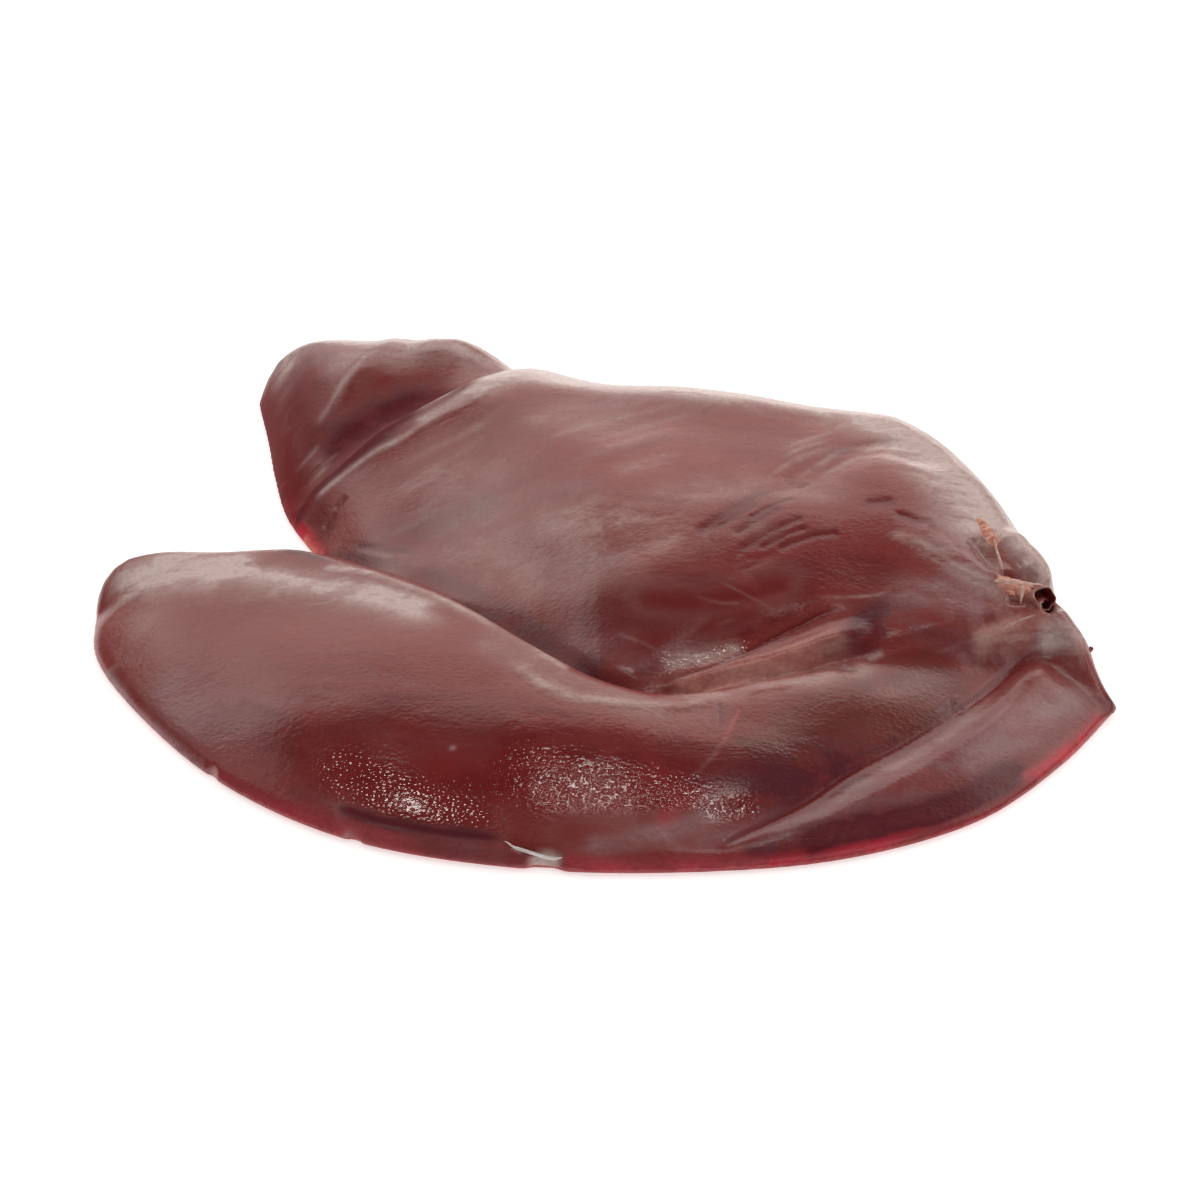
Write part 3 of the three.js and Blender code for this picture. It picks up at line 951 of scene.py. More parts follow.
    def front_margin_brushes(self) -> list[Brush]:
        """Returns the front margin's second rim line with painted shade in it, and its colours, with the
        painted glow of the thin margin and painted highlights at the nicks.
        """
        rim = ((-103, -164), (-96, -167), (-82, -174), (-70, -178), (-59, -181), (-43, -184), (-30, -187))
        left = ((-205, -62), (-197, -78), (-189, -91), (-181, -102), (-173, -112), (-166, -120), (-158, -129))
        crimson = (
            (-152, -135), (-137, -149), (-124, -159), (-110, -168), (-98, -175), (-86, -180), (-74, -185),
        )
        front = ((-8, -196), (3, -197), (18, -198), (34, -197), (49, -196), (64, -194))
        return [
            stroke(left, (2, 5), -0.2, purple=0.4, mauve=1.3, pale=0.25),
            stroke(((-214, -25), (-211, -42), (-204, -60)), 6, rosy=1, pale=0.25),
            # Painted glow of the thin margin
            stroke(crimson, 5, crimson=0.45, mauve=0.8),
            # Painted shade in the rim groove
            stroke(rim, 2, -0.3, 0.15, purple=1.6, dry=1),
            stroke(tuple((x + 0.5, y - 4.5) for x, y in rim), (2.4, 3), fade=0.15, mauve=0.7, dry=1.2),
            stroke(((-62, -188), (-45, -192), (-28, -195)), 4, mauve=0.7, purple=0.4),
            # Painted glow of the thin margin at the front
            stroke(front, (3.6, 5), crimson=0.5, mauve=0.7),
            stroke(((2, -188), (18, -185), (34, -180), (46, -174)), (3.6, 5), 0.1, mauve=1, pale=0.1),
            stroke(((45, -187), (60, -182), (74, -174)), (5, 4), mauve=1),
            stroke(((62, -189), (80, -186), (98, -181)), 4, purple=0.7),
            stroke(((-34, -187), (-26, -190), (-17, -192), (-9, -193)), 1.6, -0.9, 0.2, purple=0.5),
            # Painted highlights at the nicks (this and the next two passes)
            stroke(((-26, -194), (-18, -192), (-10, -194)), 1.6, fade=0.4, pale=1.2, salmon=0.3),
            stroke(((-98, -177), (-95, -176), (-91, -178)), 1.4, -0.4, 0.4, pale=1),
            stroke(((-158, -132), (-154, -133), (-151, -137)), 1.4, -0.4, 0.4, pale=0.9),
        ]

    def bowl_brushes(self) -> list[Brush]:
        """Returns the deep red bowl before the strip, its red partly painted shade, with a painted highlight
        and the thin light lines that cross it.
        """
        upper = ((-2, -54), (8, -51), (19, -45), (34, -52), (48, -54), (58, -44), (74, -37), (90, -27))
        lower = ((2, -62), (10, -60), (24, -57), (36, -60), (50, -61), (64, -51), (80, -43), (100, -35))
        lines = fan(upper, lower, 9, 23, 1.8)
        halves = (half for line in lines for half in (line[2:5], line[5:]))
        return [
            # The bowl's deep red: partly the flesh's own colour, partly painted shade (this and the next
            # pass)
            stroke(
                ((6, -64), (24, -64), (46, -66), (72, -58), (96, -46), (120, -46)), (11.5, 12), deep=1.3,
            ),
            stroke(((24, -84), (46, -80), (68, -72), (90, -60)), (10, 5), deep=1.2),
            stroke(((78, -50), (98, -42), (118, -42)), 9, crimson=0.14),
            stroke(((2, -64), (22, -68), (46, -74)), (9, 8), brown=0.6, purple=0.9),
            stroke(((-6, -72), (10, -80), (22, -90)), (9, 7), mauve=0.55, purple=0.3),
            stroke(((31, -93), (42, -91), (54, -87), (62, -83)), (5, 3.6), coarse=1.5),
            # A painted highlight over the coarse glinting patch
            stroke(((32, -91), (44, -89), (57, -86)), (4, 3.5), pale=0.65),
            stroke(((24, -62), (44, -66), (61, -62), (78, -56)), (9, 6), dry=0.9),
            stroke(((44, -77), (54, -75), (66, -70)), (5, 4), dry=0.8),
            stroke(((90, -61), (103, -60), (112, -59), (122, -56), (130, -48)), 0.8, 0.1, 0.3, pale=0.3),
            stroke(((52, -55), (61, -60), (70, -65), (79, -70)), 0.7, 0.05, 0.3, pale=0.14),
            stroke(((8, -74), (19, -81), (29, -88)), 0.8, 0.05, 0.3, pale=0.18),
            stroke(((40, -62), (54, -66), (66, -64)), 0.8, 0.05, 0.3, pale=0.1),
            *streaks(halves, 1.6, (-0.1,), 0.3, {"deep": 0.8}),
        ]

    def plateau_brushes(self) -> list[Brush]:
        """Returns the plateau's rosy and mauve patches, its painted sheen, the painted sheen along its rear
        rim and its fine oblique bands.
        """
        middle = fan(
            ((-30, -2), (0, 22), (34, 42), (66, 64)), ((-30, 70), (-6, 84), (26, 98), (60, 108)),
            16, 31, 3.0,
        )
        right = fan(
            ((84, -4), (102, 18), (116, 30), (138, 26)), ((60, 16), (84, 44), (108, 58), (132, 60)),
            9, 41, 2.0,
        )
        rim = fan(((144, 22), (156, 24), (168, 22)), ((148, -12), (160, -10), (172, -12)), 9, 43, 0.8)
        return [
            stroke(((-30, 20), (0, 30), (40, 20), (80, 20), (112, 20)), (40, 42), rosy=0.55),
            # Painted sheen (this and the next pass)
            stroke(((-56, 34), (-44, -8), (-18, -34), (10, -30)), (18, 20), pale=0.22, rosy=0.6),
            stroke(((-14, -12), (6, -18), (28, -28)), (16, 14), pale=0.36, rosy=0.8),
            stroke(((8, 42), (20, 47), (32, 51)), 11, rosy=1),
            stroke(((16, -38), (24, -37), (32, -37)), (8, 6), rosy=1, pale=0.25),
            stroke(((-24, 70), (-6, 76), (12, 73)), 9, pale=0.16),
            stroke(((14, 18), (23, 22), (32, 26)), (5, 4), pale=0.18),
            stroke(((-42, 45), (-34, 49), (-27, 42)), 8, rosy=0.9, deep=0.15),
            stroke(((-24, 13), (-12, 10), (0, 6)), (7, 6), mauve=0.4),
            stroke(((-11, -30), (-2, -34), (8, -38)), 8, mauve=0.5),
            # Painted sheen along the rear rim
            stroke(((-36, 116), (3, 108), (40, 97), (76, 87), (112, 78)), (16, 11), pale=1.3),
            stroke(((20, -12), (45, -4), (72, 2), (100, 0)), (12, 7), pale=0.2, rosy=0.5),
            stroke(((36, -34), (54, -29), (70, -24)), 5, pale=0.14),
            stroke(((60, 62), (85, 58), (105, 50)), (10, 8), rosy=0.5, deep=0.15),
            stroke(((73, 34), (86, 40), (100, 30)), 9, rosy=0.9, deep=0.4),
            stroke(((-61, 46), (-50, 38), (-41, 30)), 8, rosy=0.9, deep=0.2),
            # Painted sheen along the right rear rim
            stroke(((108, 84), (128, 66), (144, 44), (156, 22), (165, 4), (171, -10)), (13, 15), pale=1.5),
            stroke(((96, 56), (116, 48), (132, 36)), (14, 10), rosy=0.9),
            stroke(((118, 36), (127, 40), (138, 39), (149, 35)), (1.8, 2.4), 0.6, 0.2, pale=0.6),
            stroke(((96, 26), (110, 38), (128, 46), (142, 45)), 2.8, -0.6, 0.2, purple=0.35),
            stroke(((131, -55), (142, -54), (156, -60)), (9, 12), mauve=0.85, pale=0.14),
            stroke(((150, -10), (160, -26), (166, -40)), (8, 10), mauve=0.5, pale=0.2),
            stroke(((147, -30), (155, -42), (163, -50), (170, -57)), (6, 8), mauve=0.5, pale=0.28),
            *streaks(middle, (2.2, 2.6), (0,), 0.35, {"mauve": 0.3}, {"deep": 0.3}, {"pale": 0.16}),
            *streaks(right, (1.5, 1.8), (0.08,), 0.35, {"pale": 0.26}, {"deep": 0.26}),
            *streaks(rim, (1.1, 1.2), (0.2, -0.2), 0.3, {"pale": 0.5}, {"deep": 0.5}),
        ]

    def wrinkle_brushes(self) -> list[Brush]:
        """Returns the wrinkles above the bowl, darkened partly with painted shade, the spots, and the lines
        at the rear edge.
        """
        passes = [
            stroke(
                ((128, -11), (135, -14), (140, -17), (147, -16)),
                (2.4, 2.6), -0.5, 0.2, deep=1.6, purple=0.8,
            ),
            stroke(((124, 55), (132, 58), (142, 60)), 1.4, -0.3, 0.3, purple=0.5),
            stroke(((46, 71), (51, 78), (55, 83)), 1.4, -0.2, 0.3, deep=0.5),
            stroke(((47, 63), (52, 71), (57, 78)), 1.4, -0.2, 0.3, deep=0.5),
            stroke(((140, -34), (150, -32), (160, -28)), 1.4, -0.2, 0.3, deep=0.4),
            dab(120, -5, 2.6, -0.3, deep=1.4, purple=0.6),
            dab(126, -4, 3.2, -0.4, deep=1.4, purple=0.6),
        ]
        for path, half in (
            (((43, -30), (52, -21), (60, -13), (68, -5), (78, 4)), 2.5),
            (((51, -27), (58, -20), (65, -13), (71, -6)), 1.5),
            (((59, -30), (66, -23), (73, -16), (81, -9)), 2.3),
            (((60, -40), (68, -32), (76, -25), (84, -20), (91, -15)), 2.5),
            (((69, -37), (77, -31), (84, -26), (93, -22)), 2.0),
            (((77, -37), (86, -31), (95, -27), (106, -24)), 2.2),
            (((65, -20), (73, -12), (81, -6), (89, -2)), 1.4),
            (((88, 6), (91, 8), (94, 11)), 1.2),
        ):
            # Each wrinkle's dark red is partly painted shade in the groove, and the light line beside it is a
            # painted highlight
            passes.append(stroke(path, (half, 0.8 * half), -0.35, 0.15, deep=2.2, purple=1))
            passes.append(stroke(tuple((x + 1.6, y + 3.0) for x, y in path), 1.4, 0.1, 0.3, pale=0.08))
        return passes

    def rear_left_brushes(self) -> list[Brush]:
        """Returns the stretch lines, and the light and dark marks between the ridge and the fissure, partly
        painted sheen and painted shade.
        """
        stretched = fan(
            ((-108, 22), (-84, 26), (-58, 34), (-34, 50)), ((-112, 56), (-86, 68), (-58, 82), (-30, 98)),
            10, 17, 2.6,
        )
        return [
            # Painted sheen
            stroke(((-86, 2), (-67, 2), (-50, -7), (-34, -20), (-22, -34)), 8, pale=0.24),
            # Painted shade
            stroke(((-92, 24), (-70, 22), (-50, 22)), 10, mauve=0.2, deep=0.95),
            stroke(((-110, 40), (-84, 46), (-58, 40), (-30, 24)), (18, 20), rosy=0.6, mauve=0.12),
            stroke(((-112, 10), (-98, 12), (-84, 10)), 5, mauve=0.4),
            stroke(((-111, 30), (-99, 20), (-85, 11), (-74, 3)), 1.5, -0.2, 0.25, purple=0.9),
            stroke(((-100, 12), (-90, 6), (-80, 4)), 1.3, -0.1, 0.3, purple=0.6),
            stroke(((-108, 24), (-96, 14), (-84, 5)), 1.3, 0.1, 0.3, pale=0.4),
            stroke(((-118, 53), (-112, 56)), 1.8, -0.3, 0.2, deep=1.2),
            stroke(((-123, 47), (-116, 51)), 1.5, -0.2, 0.2, deep=1),
            *streaks(stretched, (2.4, 3), (0,), 0.35, {"pale": 0.2}, {"deep": 0.2}),
        ]

    def left_end_brushes(self) -> list[Brush]:
        """Returns the shoulder's painted highlight line, the valley darkened with painted shade, and the rear
        lobe's turned-down left end, with painted shade along its edge and the painted glow of its thin notch.
        """
        shoulder = (
            (-34, 113), (-43, 103), (-52, 95), (-61, 90), (-70, 87), (-80, 83), (-89, 78), (-98, 75),
            (-107, 71), (-114, 68), (-121, 67), (-129, 65),
        )
        valley = (
            (-62, 108), (-73, 104), (-83, 99), (-92, 92), (-101, 84), (-109, 79), (-118, 77), (-127, 74),
            (-134, 66),
        )
        edge = ((-163, 172), (-157, 146), (-150, 120), (-145, 97), (-138, 76))
        faint = ((-107, 150), (-113, 137), (-118, 128), (-123, 120), (-131, 111))
        return [
            # Painted sheen on the raised top of the left end
            stroke(((-76, 158), (-54, 158), (-30, 150)), 12, 3.4, pale=0.6),
            # Painted shade in the valley (this and the next two passes)
            stroke(
                ((-74, 120), (-88, 117), (-104, 109), (-118, 98)),
                (14, 10), -1.6, purple=1.1, mauve=0.5, deep=0.2, dry=1,
            ),
            stroke(valley, (7, 3.6), deep=0.3, purple=1.1, mauve=0.8, dry=1),
            stroke(edge, 12, deep=1.1, purple=0.5, mauve=0.3, dry=1),
            # Painted sheen along the rear edge
            stroke(((-148, 174), (-120, 171), (-96, 162), (-72, 158)), 9, mauve=1, pale=0.75),
            stroke(
                ((-152, 160), (-146, 140), (-140, 122), (-134, 106)),
                (12, 10), deep=0.6, purple=0.4, mauve=0.5, dry=0.8,
            ),
            stroke(((-148, 156), (-141, 160), (-133, 159)), 6, mauve=1, pale=0.12),
            stroke(faint, (2, 3), 0.3, 0.15, pale=0.3),
            stroke(
                ((-116, 151), (-97, 152), (-76, 152), (-58, 152)), (9, 12), mauve=0.4, brown=0.2, pale=0.28,
            ),
            stroke(((-152, 168), (-137, 160), (-122, 150)), 9, rosy=0.7, mauve=0.5),
            stroke(((-140, 147), (-133, 141), (-127, 133)), 4.5, deep=0.5),
            stroke(((-128, 103), (-131, 98), (-136, 95), (-141, 93)), 1.4, 0.15, 0.3, pale=0.25),
            stroke(((-121, 90), (-128, 84), (-133, 78)), 1.4, 0.15, 0.3, pale=0.25),
            stroke(((-118, 94), (-124, 91), (-129, 89)), 1.4, 0.15, 0.3, pale=0.2),
            # Painted highlight along the shoulder (this and the next three passes)
            stroke(shoulder, (1.8, 2.2), 0.3, 0.05, pale=0.5),
            stroke(((-24, 121), (-36, 115), (-50, 105)), (9, 7), 0.2, pale=1.3),
            stroke(((-50, 105), (-64, 94), (-78, 87)), (5, 3.6), 0.2, pale=0.9),
            stroke(((-34, 128), (-50, 118), (-64, 109), (-78, 101)), (5, 6), pale=0.7),
            stroke(((-138, 82), (-130, 65), (-125, 55), (-121, 46)), (4, 5), deep=1, purple=0.6),
            # Painted glow of light shining through the thin notch (this and the next two passes)
            stroke(((-146, 94), (-141, 77), (-135, 60), (-130, 48)), (1.8, 4), crimson=1.1, dry=1),
            stroke(((-131, 50), (-128, 42), (-125, 34)), (2.8, 6), crimson=2.2, dry=1),
            stroke(((-132, 48), (-128, 40), (-124, 32)), (2, 4), salmon=0.9),
        ]

    def hilum_brushes(self) -> list[Brush]:
        """Returns the ridge that runs to the hilum with a painted highlight, its small lobule with painted
        sheen, and the tints round the torn tissue, with painted shade in its hollow, groove and hole.
        """
        ridge = ((124, -23), (137, -29), (147, -36), (155, -43), (165, -48), (172, -50))
        return [
            # Painted highlight along the ridge
            stroke(ridge, (2.2, 2.6), 0.3, 0.15, pale=0.4, rosy=0.5),
            # Painted sheen on the lobule (this and the next pass)
            stroke(((180, -23), (184, -30), (188, -37)), 7, 4.6, mauve=1, pale=1.6),
            stroke(((188, -22), (193, -30), (197, -38)), 6, pale=1.5),
            # Painted shade in the hollow beside the ligament
            stroke(
                ((161, -24), (164, -30), (167, -38), (170, -43)), (3, 2.4), -1.2, 0.1, brown=1.4, deep=0.4,
            ),
            stroke(((158, -30), (162, -38), (166, -45)), 4, mauve=0.5),
            # Painted shade in the groove under the band
            stroke(
                ((171, -44), (178, -45), (185, -44), (191, -42)), (2.4, 2), -2, 0.1, deep=1.6, purple=0.4,
            ),
            stroke(((169, -49), (177, -50), (185, -49)), 3, 0.8, 0.1, salmon=1.1),
            # Painted shade in the hole
            stroke(((173, -57), (177, -57), (181, -56)), 1.8, -1.6, 0.15, deep=1.8),
            stroke(((134, -75), (143, -77), (152, -78), (160, -79)), 4.5, -0.3, mauve=0.7, deep=0.55),
            stroke(((157, -80), (167, -78), (177, -74)), 5, -0.4, deep=0.8, mauve=0.4),
            stroke(((149, -68), (156, -69)), 3, -0.2, 0.1, deep=0.8),
            stroke(((162, -69), (168, -67)), 3, -0.2, 0.1, deep=1),
            stroke(
                ((160, -75), (170, -70), (180, -65), (190, -60)),
                (3, 3.6), 0.5, pale=0.3, salmon=0.22, rosy=0.8,
            ),
            stroke(((168, -76), (178, -70), (190, -65)), 3, 0.2, 0.1, pale=0.25, rosy=0.8),
            stroke(((180, -61), (189, -57), (197, -60)), (1.8, 2.2), 0.2, 0.3, pale=0.4),
            stroke(((188, -70), (195, -65), (201, -66)), (6, 5), mauve=0.9, pale=0.15),
        ]

    def build(self, effects: Effects) -> bpy.types.Object:
        """Builds and dresses the flesh.

        Args:
            effects: The shared node groups.

        Returns:
            The finished piece.
        """
        piece = bpy.data.objects.new(self.name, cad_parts[self.node].data.copy())
        bpy.context.scene.collection.objects.link(piece)
        select_only(piece)
        bpy.ops.object.mode_set(mode="EDIT")
        bpy.ops.mesh.select_all(action="SELECT")
        bpy.ops.mesh.remove_doubles(threshold=MERGE_DISTANCE)
        bpy.ops.object.mode_set(mode="OBJECT")
        apply_modifier(piece, "REMESH", mode="VOXEL", voxel_size=self.voxel)
        apply_modifier(piece, "SMOOTH", factor=0.5, iterations=self.smoothing)
        brushes = self.brushes()
        self.sculpt(piece, brushes)
        self.cut_nicks(piece)
        apply_modifier(piece, "DECIMATE", ratio=self.triangles / (2 * len(piece.data.polygons)))
        self.paint(piece, brushes)
        piece.data.materials.clear()
        piece.data.materials.append(self.finish.make(effects))
        keep(piece, (self.node,))
        return piece

    def sculpt(self, piece: bpy.types.Object, brushes: Sequence[Brush]) -> None:
        """Raises the ridges and presses the grooves into the upper face.

        Args:
            piece: The flesh.
            brushes: Every brush pass.
        """
        places = vertex_values(piece, "co")[:, :2] / MM
        upward = smoothstep(*self.sculpt_facing, vertex_values(piece, "normal")[:, 2])
        height = np.zeros(len(places))
        for brush in brushes:
            if brush.depth:
                height += brush.depth * brushed(brush, places)
        height *= upward
        for name, sign in (("raised", 1.0), ("pressed", -1.0)):
            part = np.maximum(sign * height, 0.0)
            most = float(part.max())
            weigh(piece, name, part / most)
            apply_modifier(piece, "DISPLACE", strength=sign * most * MM, mid_level=0.0, vertex_group=name)

    def cut_nicks(self, piece: bpy.types.Object) -> None:
        """Draws the thin margin in at each nick."""
        places = vertex_values(piece, "co")
        for nick in self.nicks:
            places[:, :2] += nick.moved(places[:, :2] / MM) * MM
        move_vertices(piece, places)

    def paint(self, piece: bpy.types.Object, brushes: Sequence[Brush]) -> None:
        """Stores each layer's strength as a point attribute.

        Args:
            piece: The flesh.
            brushes: Every brush pass.
        """
        corners = vertex_values(piece, "co")
        places = corners[:, :2] / MM
        upward = smoothstep(*self.paint_facing, vertex_values(piece, "normal")[:, 2])
        layers = {layer: np.zeros(len(places)) for layer in Layer}
        # Painted glow: the low, thin margin is painted crimson as if light shone through it
        red = 1.0 - smoothstep(*self.margin_red, corners[:, 2] / MM)
        layers[Layer.CRIMSON] = self.margin_strength * red
        for brush in brushes:
            amount = brushed(brush, places) * upward if brush.tints else None
            for layer, strength in brush.tints:
                layers[layer] = np.maximum(layers[layer], strength * amount)
        # The pale film and its painted sheen stay off the low, steep rear sides
        film = smoothstep(*self.film_rise, corners[:, 2] / MM)
        layers[Layer.PALE] *= np.where(places[:, 1] > self.film_from, film, 1.0)
        for layer, values in layers.items():
            store(piece, layer.value, values)


class Surface:
    """The flesh's upper face, for pieces that lie on it."""

    ABOVE = 0.2
    MARGIN_HEIGHT = 0.01

    def __init__(self, flesh: bpy.types.Object) -> None:
        """Takes the flesh's form as it is now."""
        self.tree = BVHTree.FromObject(flesh, bpy.context.evaluated_depsgraph_get())

    def on(self, x: float, y: float) -> tuple[Vector, Vector]:
        """Finds the face under a plan place.

        Args:
            x: Millimetres along X.
            y: Millimetres along Y.

        Returns:
            The place on the face and the face's direction, leaning to the vertical.
        """
        start = Vector((x * MM, y * MM, self.ABOVE))
        place, normal, _, _ = self.tree.ray_cast(start, Vector((0.0, 0.0, -1.0)))
        if place is None:
            place, normal, _, _ = self.tree.find_nearest(Vector((x * MM, y * MM, self.MARGIN_HEIGHT)))
        return place, (normal + Vector((0.0, 0.0, 1.0))).normalized()


@dataclass(frozen=True)
class TissueBand:
    """A torn or stretched band of tissue that lies on the flesh and rises from it.

    Attributes:
        name: The piece's name.
        path: Plan points in millimetres, from one end to the other.
        width: Half width in millimetres.
        height: Height of its middle over the flesh, in millimetres.
        finish: Its finish.
        lean: How far its crest leans to the left of the path, as a share of the half width.
        ragged: How much its edges and crest vary, as a share.
        seed: Seeds the unevenness.
    """

    name: str
    path: Path
    width: float
    height: float
    finish: TissueFinish
    lean: float = 0.0
    ragged: float = 0.35
    seed: int = 1

    ALONG = 34
    ACROSS = 9
    WAVES = 12
    UNEVEN = 0.6
    TAPER = 0.45
    THICKNESS = 0.0004
    SINK = 0.5
    UNDERSIDE_SHADE = 0.5

    def build(self, surface: Surface, effects: Effects) -> bpy.types.Object:
        """Builds the band.

        Args:
            surface: The flesh's upper face.
            effects: The shared node groups.

        Returns:
            The finished piece.
        """
        bpy.ops.object.select_all(action="DESELECT")
        bpy.ops.mesh.primitive_grid_add(x_subdivisions=self.ALONG, y_subdivisions=self.ACROSS, size=2.0)
        piece = bpy.context.object
        piece.name = self.name
        move_vertices(piece, self.places(vertex_values(piece, "co"), surface))
        apply_modifier(piece, "SMOOTH", factor=0.5, iterations=2)
        apply_modifier(piece, "SOLIDIFY", thickness=self.THICKNESS, offset=-1.0)
        apply_modifier(piece, "SUBSURF", levels=1, render_levels=1)
        rise = vertex_values(piece, "normal")[:, 2]
        store(piece, INNER_SHADE, self.UNDERSIDE_SHADE * smoothstep(0.5, -0.3, rise))
        piece.data.materials.append(self.finish.make(effects))
        keep(piece)
        return piece

    def places(self, grid: np.ndarray, surface: Surface) -> np.ndarray:
        """Lays a flat grid along the path.

        Args:
            grid: The grid's vertices, from -1 to 1 along and across.
            surface: The flesh's upper face.

        Returns:
            The vertices' new places.
        """
        rng = np.random.default_rng(self.seed)
        path = rounded_path(self.path, 12)
        passed = passed_lengths(path) / passed_lengths(path)[-1]
        share = (grid[:, 0] + 1.0) / 2.0
        slope = np.gradient(path, axis=0)
        slope /= np.linalg.norm(slope, axis=1)[:, None]
        centre = np.stack([np.interp(share, passed, path[:, axis]) for axis in (0, 1)], axis=1)
        ahead = np.stack([np.interp(share, passed, slope[:, axis]) for axis in (0, 1)], axis=1)
        left = np.stack([-ahead[:, 1], ahead[:, 0]], axis=1)
        knots = np.linspace(0.0, 1.0, self.WAVES)
        heights = [rng.normal(0.0, self.UNEVEN, self.WAVES) for _ in range(3)]
        waves = [1.0 + self.ragged * np.interp(share, knots, row) for row in heights]
        taper = np.clip(np.sin(np.pi * share), 0.0, 1.0) ** self.TAPER
        side = np.where(grid[:, 1] > 0, waves[0], waves[1])
        arch = 1.0 - grid[:, 1] ** 2
        phases = rng.uniform(0.0, 2.0 * math.pi, 2)
        turn = 2.0 * math.pi * share
        folds = np.sin(5.0 * turn + 2.0 * grid[:, 1] + phases[0])
        folds *= np.cos(3.0 * turn - 3.0 * grid[:, 1] + phases[1])
        across = self.width * taper * (grid[:, 1] * side + self.lean * arch)
        crumpled = 1.0 + self.UNEVEN * self.ragged * folds
        lift = self.height * arch * waves[2] * taper * crumpled - self.SINK
        rows = []
        for (x, y), up in zip(centre + left * across[:, None], lift):
            place, normal = surface.on(x, y)
            rows.append(place + normal * (up * MM))
        return np.array(rows)


@dataclass(frozen=True)
class CutVessel:
    """A cut vessel or duct: a short tube with a torn, flared lip round a bore darkened with painted shade.

    Attributes:
        name: The piece's name.
        place: The middle of its root in millimetres.
        axis: The direction that it opens to.
        radius: Outer radius in millimetres.
        wall: Thickness of its wall in millimetres.
        length: Length in millimetres.
        finish: Its finish.
        seed: Seeds the unevenness.
    """

    name: str
    place: Place
    axis: Place
    radius: float
    wall: float
    length: float
    finish: TissueFinish
    seed: int = 1

    SIDES = 36
    RINGS = 7
    FLARE = 0.1
    UNROUND = 0.09
    TORN = 0.22
    FLATNESS = 0.86
    TINY = 0.00001

    def build(self, effects: Effects) -> bpy.types.Object:
        """Builds the vessel.

        Args:
            effects: The shared node groups.

        Returns:
            The finished piece.
        """
        bpy.ops.object.select_all(action="DESELECT")
        bpy.ops.mesh.primitive_cylinder_add(
            vertices=self.SIDES, radius=1.0, depth=1.0, end_fill_type="NOTHING"
        )
        piece = bpy.context.object
        piece.name = self.name
        bpy.ops.object.mode_set(mode="EDIT")
        bpy.ops.mesh.select_all(action="SELECT")
        bpy.ops.mesh.subdivide(number_cuts=self.RINGS)
        bpy.ops.object.mode_set(mode="OBJECT")
        self.shape(piece)
        apply_modifier(piece, "SOLIDIFY", thickness=self.wall * MM, offset=-1.0)
        apply_modifier(piece, "SUBSURF", levels=1, render_levels=1)
        self.shade_bore(piece)
        piece.rotation_mode = "QUATERNION"
        piece.rotation_quaternion = Vector((0.0, 0.0, 1.0)).rotation_difference(Vector(self.axis))
        piece.location = Vector(self.place) * MM
        select_only(piece)
        bpy.ops.object.transform_apply(location=True, rotation=True, scale=True)
        piece.data.materials.append(self.finish.make(effects))
        keep(piece)
        return piece

    def shape(self, piece: bpy.types.Object) -> None:
        """Gives the tube its size, its flared lip and its torn, uneven edge."""
        rng = np.random.default_rng(self.seed)
        places = vertex_values(piece, "co")
        angle = np.arctan2(places[:, 1], places[:, 0])
        up = places[:, 2] + 0.5
        phases = rng.uniform(0.0, 2.0 * math.pi, 4)
        bumps = sum(np.sin((n + 2) * angle + phase) / (n + 2) for n, phase in enumerate(phases))
        radius = self.radius * (1.0 + self.FLARE * up**3) * (1.0 + self.UNROUND * bumps)
        tall = self.length * up * (1.0 + self.TORN * bumps * up)
        rows = np.stack([radius * np.cos(angle), self.FLATNESS * radius * np.sin(angle), tall], axis=1)
        move_vertices(piece, rows * MM)

    def shade_bore(self, piece: bpy.types.Object) -> None:
        """Stores how far inside the bore each vertex is, as the strength of the painted shade there."""
        places = vertex_values(piece, "co")[:, :2]
        normals = vertex_values(piece, "normal")[:, :2]
        inward = -(normals * places).sum(axis=1) / np.maximum(np.hypot(*places.T), self.TINY)
        store(piece, INNER_SHADE, smoothstep(-0.1, 0.6, inward))


